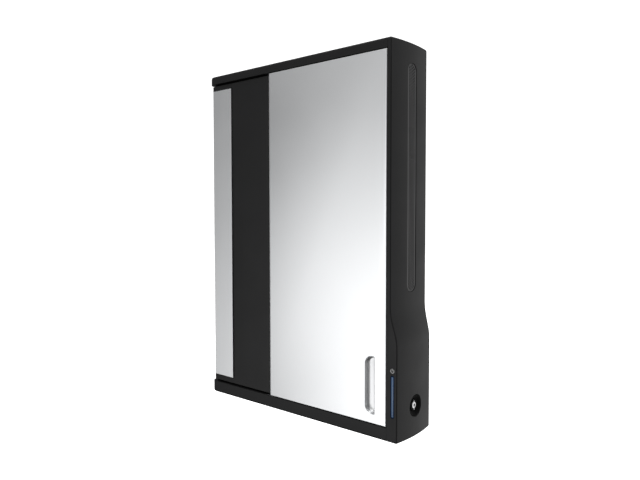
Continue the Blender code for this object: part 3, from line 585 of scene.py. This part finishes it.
def build_signals():
    """Status light in its dark window, and the generic power symbol above it."""
    inner = box(LIGHT_LOW.x - 0.2, LIGHT_HIGH.x + 0.2, FRONT - 3, FRONT + 4,
                LIGHT_LOW.z - 0.2, LIGHT_HIGH.z + 0.2)
    window = prism(slot_outline(SYMBOL_X, 8.5, LIGHT_LOW.z - 2.85, LIGHT_HIGH.z + 2.85, 8),
                   "y", FRONT + 0.1, FRONT + 1.1)
    piece("light_window", carve("light_window", window, [[inner]]), WINDOW)
    bar = rounded_box(LIGHT_LOW.x, LIGHT_HIGH.x, FRONT - 0.05, FRONT + 6, LIGHT_LOW.z, LIGHT_HIGH.z, 0.5)
    piece("light_bar", mesh_of("light_bar", [bar]), LIGHT, replaces=["status_light"])
    finish_node("power_symbol_lens", INSERT, 0.2)
    ring = [(SYMBOL_X + r * math.sin(t), SYMBOL_Z + r * math.cos(t))
            for r, turns in ((4.3, range(0, 21)), (3.1, range(20, -1, -1)))
            for t in [math.radians(38 + (322 - 38) * i / 20) for i in turns]]
    stroke = [(SYMBOL_X - 0.6, SYMBOL_Z + 0.6), (SYMBOL_X + 0.6, SYMBOL_Z + 0.6),
              (SYMBOL_X + 0.6, SYMBOL_Z + 4.6), (SYMBOL_X - 0.6, SYMBOL_Z + 4.6)]
    marks = [prism(outline, "y", FRONT - 0.12, FRONT + 0.05) for outline in (ring, stroke)]
    piece("power_symbol", mesh_of("power_symbol", marks), SYMBOL)


# ---- main door ------------------------------------------------------------------------------
def door_ring(z, inset, wall=0.0, rear=DOOR_HIGH.y):
    """Outline of the door at a height, with its rolled left edge."""
    radius = 2.5
    points = [(DOOR_HIGH.x - wall, rear), (DOOR_LOW.x + wall, rear)]
    points += arc(DOOR_AXIS.x, DOOR_AXIS.y, DOOR_ROLL - wall, 180, 270, 14)
    points += arc(DOOR_HIGH.x - radius, FRONT + radius, radius - wall, 270, 360, 8)
    return [(px, max(py, FRONT + inset + wall), z) for px, py in points]


def pull_outline(inset):
    """D shape of the finger pull: round on its left, nearly square on its right."""
    left, right = PULL_LOW.x - FIT + inset, PULL_HIGH.x + FIT - inset
    low, high = PULL_LOW.z - FIT + inset, PULL_HIGH.z + FIT - inset
    big, small = max(16.0 - inset, 0.5), max(2.5 - inset, 0.4)
    return (arc(right - small, low + small, small, 270, 360, 6)
            + arc(right - small, high - small, small, 0, 90, 6)
            + arc(left + big, high - big, big, 90, 180, 14)
            + arc(left + big, low + big, big, 180, 270, 14))


def build_door():
    """Silver door face, and the cup of its finger pull."""
    skin, edge = 1.2, 2.0
    turns = [math.pi / 2 * i / 5 for i in range(6)]
    levels = [(DOOR_LOW.z + edge * (1 - math.cos(t)), edge * (1 - math.sin(t))) for t in turns]
    levels += [(DOOR_HIGH.z - edge * (1 - math.sin(t)), edge * (1 - math.cos(t))) for t in turns]
    hollow = loft([door_ring(z, 0, skin, DOOR_HIGH.y + 10) for z in (DOOR_LOW.z + 2, DOOR_HIGH.z - 2)])
    opening = loft([[(a, y, b) for a, b in pull_outline(inset)]
                    for y, inset in ((FRONT - 2, -2.6), (FRONT + 0.6, 0.0), (FRONT + 5, 0.0))])
    pins = [rod("z", DOOR_AXIS.xy, 2.8, z - 6, z + 6) for z in (DOOR_LOW.z, DOOR_HIGH.z)]
    mesh = carve("door_face", loft([door_ring(z, i) for z, i in levels]), [[hollow], [opening] + pins])
    piece("door_face", mesh, SILVER, "front_door", ["door_skin"], sharp=25)

    rim, wall, depth, fillet = FRONT + 0.5, 1.4, PULL_HIGH.y - 1.5, 3.5
    inner = [(rim, 0.9), (FRONT + 1.5, 1.5), (depth - fillet, 1.9)]
    inner += [(depth - fillet + fillet * math.sin(t), 1.9 + fillet * (1 - math.cos(t))) for t in turns[1:]]
    outer = [(PULL_HIGH.y, 0.5 + wall), (FRONT + 3, 0.35), (rim + 0.2, 0.35)]
    cup = loft([[(a, y, b) for a, b in pull_outline(i)] for y, i in outer + inner])
    # The cup's darker silver is painted shade of the recess.
    piece("grip_cup", mesh_of("grip_cup", [cup]), CUP_SHADE_DARKENED, "front_door", ["finger_pull"],
          sharp=50)


# ---- access door ----------------------------------------------------------------------------
def build_access_door():
    """Black cover rolled round its own hinge axis, and the silver plate on it."""
    x, y = PANEL_AXIS.xy
    roll, wall, edge = x - PANEL_LOW.x, 2.5, 1.0
    right, front, open_side = PANEL_HIGH.x, PANEL_LOW.y, -100.0
    outer = ([(right, DOOR_REAR)] + arc(right - edge, front + edge, edge, 0, -90, 5)
             + arc(x, y, roll, 270, 180, 20) + [(PANEL_LOW.x, -109.5)])
    inner = ([(right - wall, open_side), (right - wall, front + wall)]
             + arc(x, y, roll - wall, 270, 180, 16) + [(PANEL_LOW.x + wall, open_side)])
    pins = [rod("z", (x, y), 2.3, z - 6, z + 6) for z in (PANEL_LOW.z, PANEL_HIGH.z)]
    mesh = carve("access_cover", prism(outer, "z", PANEL_LOW.z, PANEL_HIGH.z),
                 [[prism(inner, "z", PANEL_LOW.z + wall, PANEL_HIGH.z - wall)], pins])
    piece("access_cover", mesh, BLACK, "side_access_door", ["access_door"], sharp=28)
    finish_node("accent_plate", SILVER, 0.5)


# ---- lock -----------------------------------------------------------------------------------
def build_lock():
    """Dished rosette, turning core with its key slot, and two small pointers."""
    centre = (LOCK.y, LOCK.z)
    face, r = LOCK.x, ROSETTE
    rear = span("lock_escutcheon")[0].x
    profile = [(face - 0.6, r), (face - 0.1, r - 0.5), (face, r - 1.2), (face - 0.2, r - 2.0),
               (face - 3.0, 15.0), (face - 4.6, 12.4), (face - 5.0, 11.5), (rear, 11.5), (rear, r)]
    piece("lock_rosette", mesh_of("lock_rosette", [turned("x", centre, profile, 72)]), LOCK_BLACK,
          replaces=["lock_escutcheon"], sharp=40)
    top = span("lock_plug")[1].x
    core = [(238.0, 3.5), (243.4, 3.5), (243.4, 6.4), (top - 0.9, 6.4), (top - 0.25, 6.0), (top, 5.3)]
    barrel = loft([[(x, a, b) for a, b in arc(*centre, radius, 0, 354, 59)] for x, radius in core])
    key = [box(top - 8, top + 1, LOCK.y - 0.8, LOCK.y + 0.8, LOCK.z - 3.9, LOCK.z + 3.9)]
    eye = [rod("x", centre, 2.7, top - 3, top + 1, 24)]
    piece("lock_barrel", carve("lock_barrel", barrel, [key, eye]), NICKEL, "lock_core",
          ["lock_plug"], sharp=30)
    marks = [prism([(LOCK.y - 1.3, LOCK.z + t * 6.7), (LOCK.y + 1.3, LOCK.z + t * 6.7),
                    (LOCK.y, LOCK.z + t * 9.6)], "x", top - 1.4, top - 0.3) for t in (1, -1)]
    piece("lock_pointers", mesh_of("lock_pointers", marks), NICKEL, "lock_core")
    guard = rounded_box(top - 2.9, top - 1.3, LOCK.y - 0.6, LOCK.y + 0.6, LOCK.z - 2.2, LOCK.z + 2.2, 0.2)
    disc = rod("x", centre, 2.6, top - 2.95, top - 2.4)
    piece("lock_guard", mesh_of("lock_guard", [guard, disc]), LOCK_BLACK, "lock_core")


# ---- the rest of the CAD nodes --------------------------------------------------------------
def finish_frame():
    """Material and softened edges for every node that keeps its CAD shape."""
    for node in ("chassis_wrapper", "chassis_top", "chassis_bottom", "partition_wall", "centre_post",
                 "door_stop_angle", "door_inner_pan"):
        finish_node(node, DARK_SHEET, 0.3)
    for node in ("wall_bracket", "hinge_bracket_upper", "hinge_bracket_lower", "door_strike",
                 "latch_keeper", "access_latch", "lock_nut", "lock_cam", "door_pin_upper",
                 "door_pin_lower", "access_pin_upper", "access_pin_lower"):
        finish_node(node, ZINC, 0.3)
    for number in range(1, SHELVES + 1):
        finish_node(f"tablet_shelf_{number:02d}", SHELF_GREY, 0.4)
    for node in ("comb_left", "comb_right", "charge_hub_lower", "charge_hub_upper", "fan_frame",
                 "fan_rotor"):
        finish_node(node, BLACK, 0.25)
    for node in ("door_bumper_1", "door_bumper_2"):
        finish_node(node, RUBBER, 0.5)
    for node in ("mains_lead", "output_lead"):
        finish_node(node, JACKET)
        NODES[node].data.shade_smooth()
    finish_node("hinge_washer", NYLON, 0.1)
    finish_node("power_supply", SUPPLY, 0.8)
    finish_node("control_board", BOARD)
    for node in ("power_inlet", "switch_frame", "power_rocker"):
        finish_node(node, INSERT, 0.3)
    finish_node("lock_body", LOCK_BLACK, 0.2)


# ---- fittings that the CAD leaves out ---------------------------------------------------------
def button(axis, centre, face, out, radius=3.2, height=1.6, recess=True):
    """A domed screw or rivet head on a face, standing out along the axis by out = +1 or -1."""
    rings = [(0.0, radius), (0.35, radius), (0.75, radius * 0.86), (0.95, radius * 0.6),
             (1.0, radius * 0.45)]
    if recess:
        rings += [(0.62, radius * 0.38), (0.6, 0.05)]
    else:
        rings += [(1.0, 0.05)]
    place = PLACES[axis]
    return loft([[place(face + out * height * h, a, b) for a, b in arc(*centre, r, 0, 345, 23)]
                 for h, r in rings])


def group(name, shapes, mat, slot, body="cabinet", bevel=0.0):
    """Several shapes as one piece that replaces no CAD node."""
    return piece(name, mesh_of(name, shapes), mat, body, bevel=bevel)


def build_bolts():
    """The four bolts that hang the chassis on its wall bracket."""
    heads, shanks = [], []
    for x in (-BOLT_X, BOLT_X):
        for z in (-BOLT_Z, BOLT_Z):
            turn = [(x + 6 * math.cos(math.radians(a)), z + 6 * math.sin(math.radians(a)))
                    for a in range(0, 360, 60)]
            heads.append(loft([[(a, y, b) for a, b in [(x + (p - x) * k, z + (q - z) * k) for p, q in turn]]
                               for y, k in ((-7.9, 1.0), (-10.6, 1.0), (-11.1, 0.86))]))
            heads.append(turned("y", (x, z), [(-7.3, 3.1), (-7.9, 3.1), (-7.9, 7.6), (-7.3, 7.6)], 32))
            shanks.append(rod("y", (x, z), 3.0, -7.6, -1.0, 20))
    group("mounting_bolts", heads, ZINC, "zinc_steel")
    group("mounting_shanks", shanks, ZINC, "zinc_steel")


def build_hub_details():
    """Ports, lamps, lids and screws of the charging hubs, and the lead that links them."""
    shells, tongues, lamps, screws = [], [], [], []
    y0, y1 = -52.0, -40.0
    for node in ("charge_hub_lower", "charge_hub_upper"):
        low, high = span(node)
        for i in range(PORTS):
            z0 = low.z + FIRST_PORT + PORT_PITCH * i
            outer = rounded_box(high.x - 2.9, high.x + 0.5, y0 + 0.3, y1 - 0.3, z0 + 0.3, z0 + 5.2, 0.5)
            inner = box(high.x - 2.3, high.x + 2, y0 + 1.0, y1 - 1.0, z0 + 0.9, z0 + 4.6)
            shells.append((outer, inner))
            tongues.append(box(high.x - 2.35, high.x - 0.4, y0 + 1.8, y1 - 1.8, z0 + 2.9, z0 + 4.1))
            lamps.append(button("x", (-33.5, z0 + 2.75), high.x, 1, 1.2, 0.7, False))
        for y in (low.y + 7, high.y - 7):
            for z in (low.z + 6, high.z - 6):
                screws.append(button("x", (y, z), high.x, 1, 2.4, 1.2))
        for x in (low.x + 8, high.x - 8):
            for z in (low.z + 8, high.z - 8):
                screws.append(button("y", (x, z), low.y, -1, 2.8, 1.4))
        lid = [(low.x + 18, low.z + 18), (high.x - 18, low.z + 18),
               (high.x - 18, high.z - 18), (low.x + 18, high.z - 18)]
        group(node + "_lid", [prism(lid, "y", low.y - 0.8, low.y + 0.2)], BLACK, "black_moulding",
              bevel=0.5)
        ribs = [rounded_box(low.x + 26, high.x - 26, low.y - 1.6, low.y - 0.6, z, z + 2.4, 0.4)
                for z in [low.z + 34 + 9 * k for k in range(9)]]
        group(node + "_ribs", ribs, BLACK, "black_moulding")
    for number, (outer, inner) in enumerate(shells, 1):
        mesh = carve("port", outer, [[inner]])
        piece(f"port_shell_{number:02d}", mesh, NICKEL, sharp=30)
    group("port_tongues", tongues, INSERT, "black_insert")
    group("port_lamps", lamps, SYMBOL, "symbol_grey")
    group("hub_screws", screws, ZINC, "zinc_steel")
    link_low, link_high = 170.1, 189.9
    group("hub_link_lead", [rod("z", (-140, -34), 2.5, link_low, link_high, 20)], JACKET, "lead_jacket")
    ends = ((-140, -34, link_low, 1, 2.5), (-140, -34, link_high, -1, 2.5), (-150, -40, -19.7, 1, 2.5),
            (-146, -34, 29.7, -1, 2.5), (-190, -42, -230.3, -1, 3.0))
    glands = [turned("z", (x, y), [(z, 0.5), (z, 5.0), (z + t * 3, 5.0), (z + t * 7, r + 0.9),
                                   (z + t * 7, 0.5)], 24) for x, y, z, t, r in ends]
    group("lead_glands", glands, RUBBER, "rubber")


def build_supply_details():
    """Louvres, bands, terminal cover, screws and feet of the power supply."""
    low, high = span("power_supply")
    louvres = [rounded_box(low.x + 16, high.x - 16, low.y - 1.1, low.y + 0.2, z, z + 2.2, 0.4)
               for z in [low.z + 96 + 6 * k for k in range(16)]]
    group("supply_louvres", louvres, SUPPLY, "supply_case")
    screws = [button("y", (x, z), low.y, -1, 3.0, 1.5) for x in (low.x + 9, high.x - 9)
              for z in (low.z + 9, low.z + 105, high.z - 9)]
    group("supply_screws", screws, ZINC, "zinc_steel")
    cover = rounded_box(low.x + 14, high.x - 14, low.y - 1.4, low.y + 0.2, low.z + 20, low.z + 80, 0.6)
    group("supply_terminal_cover", [cover], BLACK, "black_moulding")
    bands = [rounded_box(low.x - 0.6, high.x + 0.6, low.y - 0.6, low.y + 1.5, z, z + 8, 0.5)
             for z in (low.z + 86, high.z - 30)]
    group("supply_bands", bands, ZINC, "zinc_steel")
    feet = [rounded_box(low.x + 4, low.x + 10, high.y - 6, high.y - 0.1, z, z + 40, 0.6)
            for z in (low.z + 10, high.z - 50)]
    group("supply_feet", feet, RUBBER, "rubber")


def build_board_details():
    """Chips, capacitors, sockets and screws on the control board."""
    low, high = span("control_board")
    face = low.y
    rng = random.Random(7)
    chips = [rounded_box(low.x + a, low.x + b, face - t, face + 0.1, low.z + c, low.z + d, 0.3)
             for a, b, c, d, t in ((6, 20, 14, 28, 1.8), (24, 34, 16, 26, 1.5), (8, 16, 40, 52, 1.6),
                                   (20, 36, 38, 48, 2.0), (6, 14, 92, 104, 1.4))]
    chips += [rounded_box(x, x + 2.6, face - 1.0, face + 0.1, z, z + 1.5, 0.2)
              for x, z in [(low.x + 5 + rng.random() * 28, low.z + 56 + k * 2.9) for k in range(12)]]
    group("board_chips", chips, INSERT, "black_insert")
    cans = [loft([[(a, y, b) for a, b in arc(low.x + x, low.z + z, r * k, 0, 348, 29)]
                  for y, k in ((face + 0.1, 1.0), (face - 9.0, 1.0), (face - 9.6, 0.9))])
            for x, z, r in ((26, 68, 4.0), (26, 80, 4.0), (10, 76, 3.0), (30, 98, 5.0))]
    group("board_capacitors", cans, ZINC, "zinc_steel")
    sockets = [rounded_box(low.x + 5 + 11 * k, low.x + 14 + 11 * k, face - 7, face + 0.1,
                           high.z - 9, high.z - 3, 0.4) for k in range(3)]
    group("board_sockets", sockets, NYLON, "bearing_plastic")
    screws = [button("y", (x, z), face, -1, 2.6, 1.4) for x in (-230, -200) for z in (45, 155)]
    group("board_screws", screws, ZINC, "zinc_steel")


def build_inlet_details():
    """Pins and screws of the mains inlet, and the mark on the rocker."""
    low, high = span("power_inlet")
    x, y = (low.x + high.x) / 2, (low.y + high.y) / 2
    pins = [rounded_box(x + a - 2.0, x + a + 2.0, y + b - 1.0, y + b + 1.0, low.z + 1.8, low.z + 18, 0.4)
            for a, b in ((-7, 2.2), (0, -2.4), (7, 2.2))]
    group("inlet_pins", pins, NICKEL, "lock_metal")
    screws = [button("z", (x + t * 20, y), low.z + 0.05, -1, 2.6, 0.5) for t in (-1, 1)]
    group("inlet_screws", screws, ZINC, "zinc_steel")
    low, high = span("power_rocker")
    x, y = (low.x + high.x) / 2, (low.y + high.y) / 2
    mark = rounded_box(x - 0.5, x + 0.5, y + 3.2, y + 6.4, low.z + 0.25, low.z + 1.4, 0.15)
    group("rocker_mark", [mark], SYMBOL, "symbol_grey", "power_rocker")


def build_window_edging():
    """Rubber edging round each cable window of the partition."""
    low, high = span("partition_wall")
    for number, middle in enumerate(WINDOW_HEIGHTS, 1):
        rings = []
        for x, grow in ((low.x - 1.0, 1.5), (low.x - 1.0, -2.0), (high.x + 1.0, -2.0), (high.x + 1.0, 1.5)):
            y0, y1 = WINDOW_FRONT - grow, WINDOW_REAR + grow
            z0, z1 = middle - WINDOW_HALF - grow, middle + WINDOW_HALF + grow
            rings.append([(x, y0, z0), (x, y1, z0), (x, y1, z1), (x, y0, z1)])
        verts, faces = loft(rings, False)
        last = len(rings) - 1
        faces += [(last * 4 + i, last * 4 + (i + 1) % 4, (i + 1) % 4, i) for i in range(4)]
        group(f"window_edging_{number}", [(verts, faces)], RUBBER, "rubber", bevel=0.4)


def build_shelf_details():
    """A felt strip in the trough of every shelf, and a soft pad where a tablet leans."""
    along = Vector((0, -math.cos(SHELF_TILT), math.sin(SHELF_TILT)))
    square = Vector((0, math.sin(SHELF_TILT), math.cos(SHELF_TILT)))
    for number in range(SHELVES):
        start = Vector((0, SHELF_Y, LOWEST_SHELF + SHELF_PITCH * number))

        def slab(x0, x1, a0, a1, b0, b1):
            verts, faces = rounded_box(x0, x1, a0, a1, b0, b1, 0.5)
            return [tuple(start + Vector((x, 0, 0)) + along * a + square * b) for x, a, b in verts], faces

        pads = [slab(-50, 224, 2.2, 13.5, 1.95, 3.1)]
        pads += [slab(x, x + 14, 96, 132, 1.95, 2.9) for x in (-20, 170)]
        group(f"shelf_pads_{number + 1:02d}", pads, RUBBER, "rubber")


def build_sheet_details():
    """Rivets, screws and pressed beads on the sheet steel."""
    places = [(x, z) for x in (-245, -232, 225, 238) for z in (-330, -110, 110, 330)]
    places += [(-61, z) for z in (-340, -170, 175, 340)]
    rivets = [button("y", place, BACK, 1, 3.0, 1.1, False) for place in places]
    group("back_rivets", rivets, ZINC, "zinc_steel")
    beads = [rounded_box(x0, x1, BACK - 0.3, BACK + 1.2, z - 5, z + 5, 1.1)
             for x0, x1 in ((-215, -75), (75, 215)) for z in (-120, -60, 0, 60, 120)]
    group("back_beads", beads, DARK_SHEET, "dark_sheet_steel")
    side = span("chassis_wrapper")[0].x
    screws = [button("x", (y, z), side, -1, 3.0, 1.5) for y in (-92, -20) for z in (-320, -160, 0, 160, 320)]
    group("side_screws", screws, ZINC, "zinc_steel")
    places = ((-100, -250), (-100, 250), (100, -250), (100, 250), (0, -150), (0, 150))
    screws = [button("y", place, -4.0, -1, 6.5, 1.1, False) for place in places]
    group("wall_screws", screws, ZINC, "zinc_steel")
    fan_low, fan_high = span("fan_frame")
    middle = (fan_low + fan_high) / 2
    screws = [button("x", (middle.y + a, middle.z + b), FAN_WALL, -1, 2.8, 1.3)
              for a in (-25, 25) for b in (-25, 25)]
    group("fan_screws", screws, ZINC, "zinc_steel")
    wall = span("partition_wall")[1].x
    rivets = [button("x", (y, z), wall, 1, 2.4, 0.5, False) for y in (-96, -14) for z in (-335, 340)]
    group("partition_rivets", rivets, ZINC, "zinc_steel")


def build_door_details():
    """Pressed fields, rivets and ribs inside the two doors, and the fittings of strike and latch."""
    low, high = span("door_inner_pan")
    face = high.y
    x0, x1, z0, z1 = low.x + 22, high.x - 30, low.z + 26, high.z - 26
    fields = [rounded_box(x0, x1, face - 0.3, face + 0.8, z0 + (z1 - z0) * k / 3 + 6,
                          z0 + (z1 - z0) * (k + 1) / 3 - 6, 0.5) for k in range(3)]
    group("door_pan_fields", fields, DARK_SHEET, "dark_sheet_steel", "front_door")
    left, right = low.x + 11, high.x - 18
    places = [(x, z) for x in (left, (low.x + high.x) / 2, right) for z in (low.z + 12, high.z - 12)]
    places += [(x, z) for x in (left, right) for z in (-120, 120)]
    rivets = [button("y", place, face, 1, 2.6, 0.9, False) for place in places]
    group("door_rivets", rivets, ZINC, "zinc_steel", "front_door")
    high = span("door_strike")[1]
    screw = button("y", (high.x - 3.5, high.z - 4), -111.75, 1, 2.0, 0.9)
    group("strike_screw", [screw], ZINC, "zinc_steel", "front_door")
    front = PANEL_LOW.y
    ribs = [rounded_box(-235, -96, front + 2.4, front + 5.2, z, z + 3, 0.8) for z in (-280, -140, 140, 280)]
    group("access_ribs", ribs, BLACK, "black_moulding", "side_access_door")
    low = span("latch_keeper")[0]
    heads = [button("y", (low.x + 5, z), low.y + 2.0, 1, 2.0, 1.0) for z in (-6, 6)]
    group("keeper_screws", heads, ZINC, "zinc_steel", "side_access_door")
    low, high = span("access_latch")
    grips = [rounded_box(high.x - 8.5, high.x - 0.5, low.y - 0.7, low.y + 0.2, z, z + 1.4, 0.3)
             for z in (-6, -3, 0, 3)]
    group("latch_grip", grips, ZINC, "zinc_steel", "access_latch")


# ---- floor, light and camera ----------------------------------------------------------------
BACKDROP = 1.3  # a little over white, so that it shows as plain white


def build_stage():
    """Plain pale floor, well below the cabinet, which hangs on a wall."""
    floor = bpy.data.meshes.new("floor")
    side, front, level = 20.0, -2.2, -1.6
    corners = [(-side, front, level), (side, front, level), (side, side, level), (-side, side, level)]
    floor.from_pydata(corners, [], [(0, 1, 2, 3)])
    n = Nodes("pale_floor")
    n.colour(n.blend(n.ranged(n.noise(0.6), 0, 1), (0.88, 0.88, 0.88), (0.9, 0.9, 0.9)))
    n.roughness(n.ranged(n.noise(3.0), 0.85, 0.95))
    n.shader.inputs["Emission Color"].default_value = (1, 1, 1, 1)
    n.shader.inputs["Emission Strength"].default_value = BACKDROP
    floor.materials.append(n.mat)
    sheet = link("floor", floor)
    sheet.visible_glossy = False  # the backdrop is seen, and doesn't light or show in the cabinet
    sheet.visible_diffuse = False


# Soft sources round the studio: direction, cosine where each starts, how it rises, its brightness.
SOURCES = (
    ((-0.300, -0.915, -0.270), 0.76, 1.75, 2.3),  # large source in front, left of the camera
    ((-0.97, 0.20, 0.0), 0.88, 1.0, 1.0),  # strip on the left, which lights the rolled edges
    ((0.72, 0.68, -0.14), 0.45, 1.0, 1.05),  # right and behind, along the bowed side
    ((0.0, -0.25, 1.0), 0.30, 1.0, 0.8),  # overhead
)
AMBIENT = 0.13


def build_world():
    """A white backdrop, and the soft sources for everything that it doesn't show."""
    world = bpy.data.worlds.new("studio")
    bpy.context.scene.world = world
    world.use_nodes = True
    tree = world.node_tree
    coord = tree.nodes.new("ShaderNodeTexCoord").outputs["Generated"]

    def math_node(operation, a, b):
        node = tree.nodes.new("ShaderNodeMath")
        node.operation = operation
        for socket, value in zip(node.inputs, (a, b)):
            if isinstance(value, (int, float)):
                socket.default_value = value
            else:
                tree.links.new(value, socket)
        return node.outputs[0]

    total = AMBIENT
    for direction, start, rise, high in SOURCES:
        dot = tree.nodes.new("ShaderNodeVectorMath")
        dot.operation = "DOT_PRODUCT"
        tree.links.new(coord, dot.inputs[0])
        dot.inputs[1].default_value = Vector(direction).normalized()
        ramp = tree.nodes.new("ShaderNodeMapRange")
        ramp.inputs["From Min"].default_value = start
        tree.links.new(dot.outputs["Value"], ramp.inputs["Value"])
        shaped = math_node("POWER", ramp.outputs["Result"], rise)
        total = math_node("ADD", math_node("MULTIPLY", shaped, high), total)
    back = tree.nodes["Background"]
    back.inputs["Color"].default_value = (1, 1, 1, 1)
    tree.links.new(total, back.inputs["Strength"])
    white = tree.nodes.new("ShaderNodeBackground")
    white.inputs["Color"].default_value = (1, 1, 1, 1)
    white.inputs["Strength"].default_value = BACKDROP
    path = tree.nodes.new("ShaderNodeLightPath")
    mix = tree.nodes.new("ShaderNodeMixShader")
    tree.links.new(path.outputs["Is Camera Ray"], mix.inputs[0])
    tree.links.new(back.outputs[0], mix.inputs[1])
    tree.links.new(white.outputs[0], mix.inputs[2])
    tree.links.new(mix.outputs[0], tree.nodes["World Output"].inputs["Surface"])


def build_lights():
    """One soft lamp above the front, turned to the middle of the cabinet."""
    light = bpy.data.lights.new("overhead", "AREA")
    light.energy = 22
    light.size = 1.6
    lamp = link("overhead", light)
    lamp.location = (0.2, -1.2, 2.4)
    lamp.rotation_euler = (-lamp.location).to_track_quat("-Z", "Y").to_euler()


def build_camera():
    """Camera to the right of the front, looking slightly down."""
    data = bpy.data.cameras.new("camera")
    data.sensor_width = 36.0
    data.lens = 33.75
    camera = link("camera", data)
    camera.location = (0.8907, -1.0668, 0.0526)
    camera.rotation_euler = (math.radians(90 - 2.461), math.radians(0.05), math.radians(40.649))
    bpy.context.scene.camera = camera
    bpy.context.scene.view_settings.view_transform = "Standard"


build_side()
build_caps()
build_grille()
build_signals()
build_door()
build_access_door()
build_lock()
finish_frame()
build_bolts()
build_hub_details()
build_supply_details()
build_board_details()
build_inlet_details()
build_window_edging()
build_shelf_details()
build_sheet_details()
build_door_details()
build_stage()
build_world()
build_lights()
build_camera()
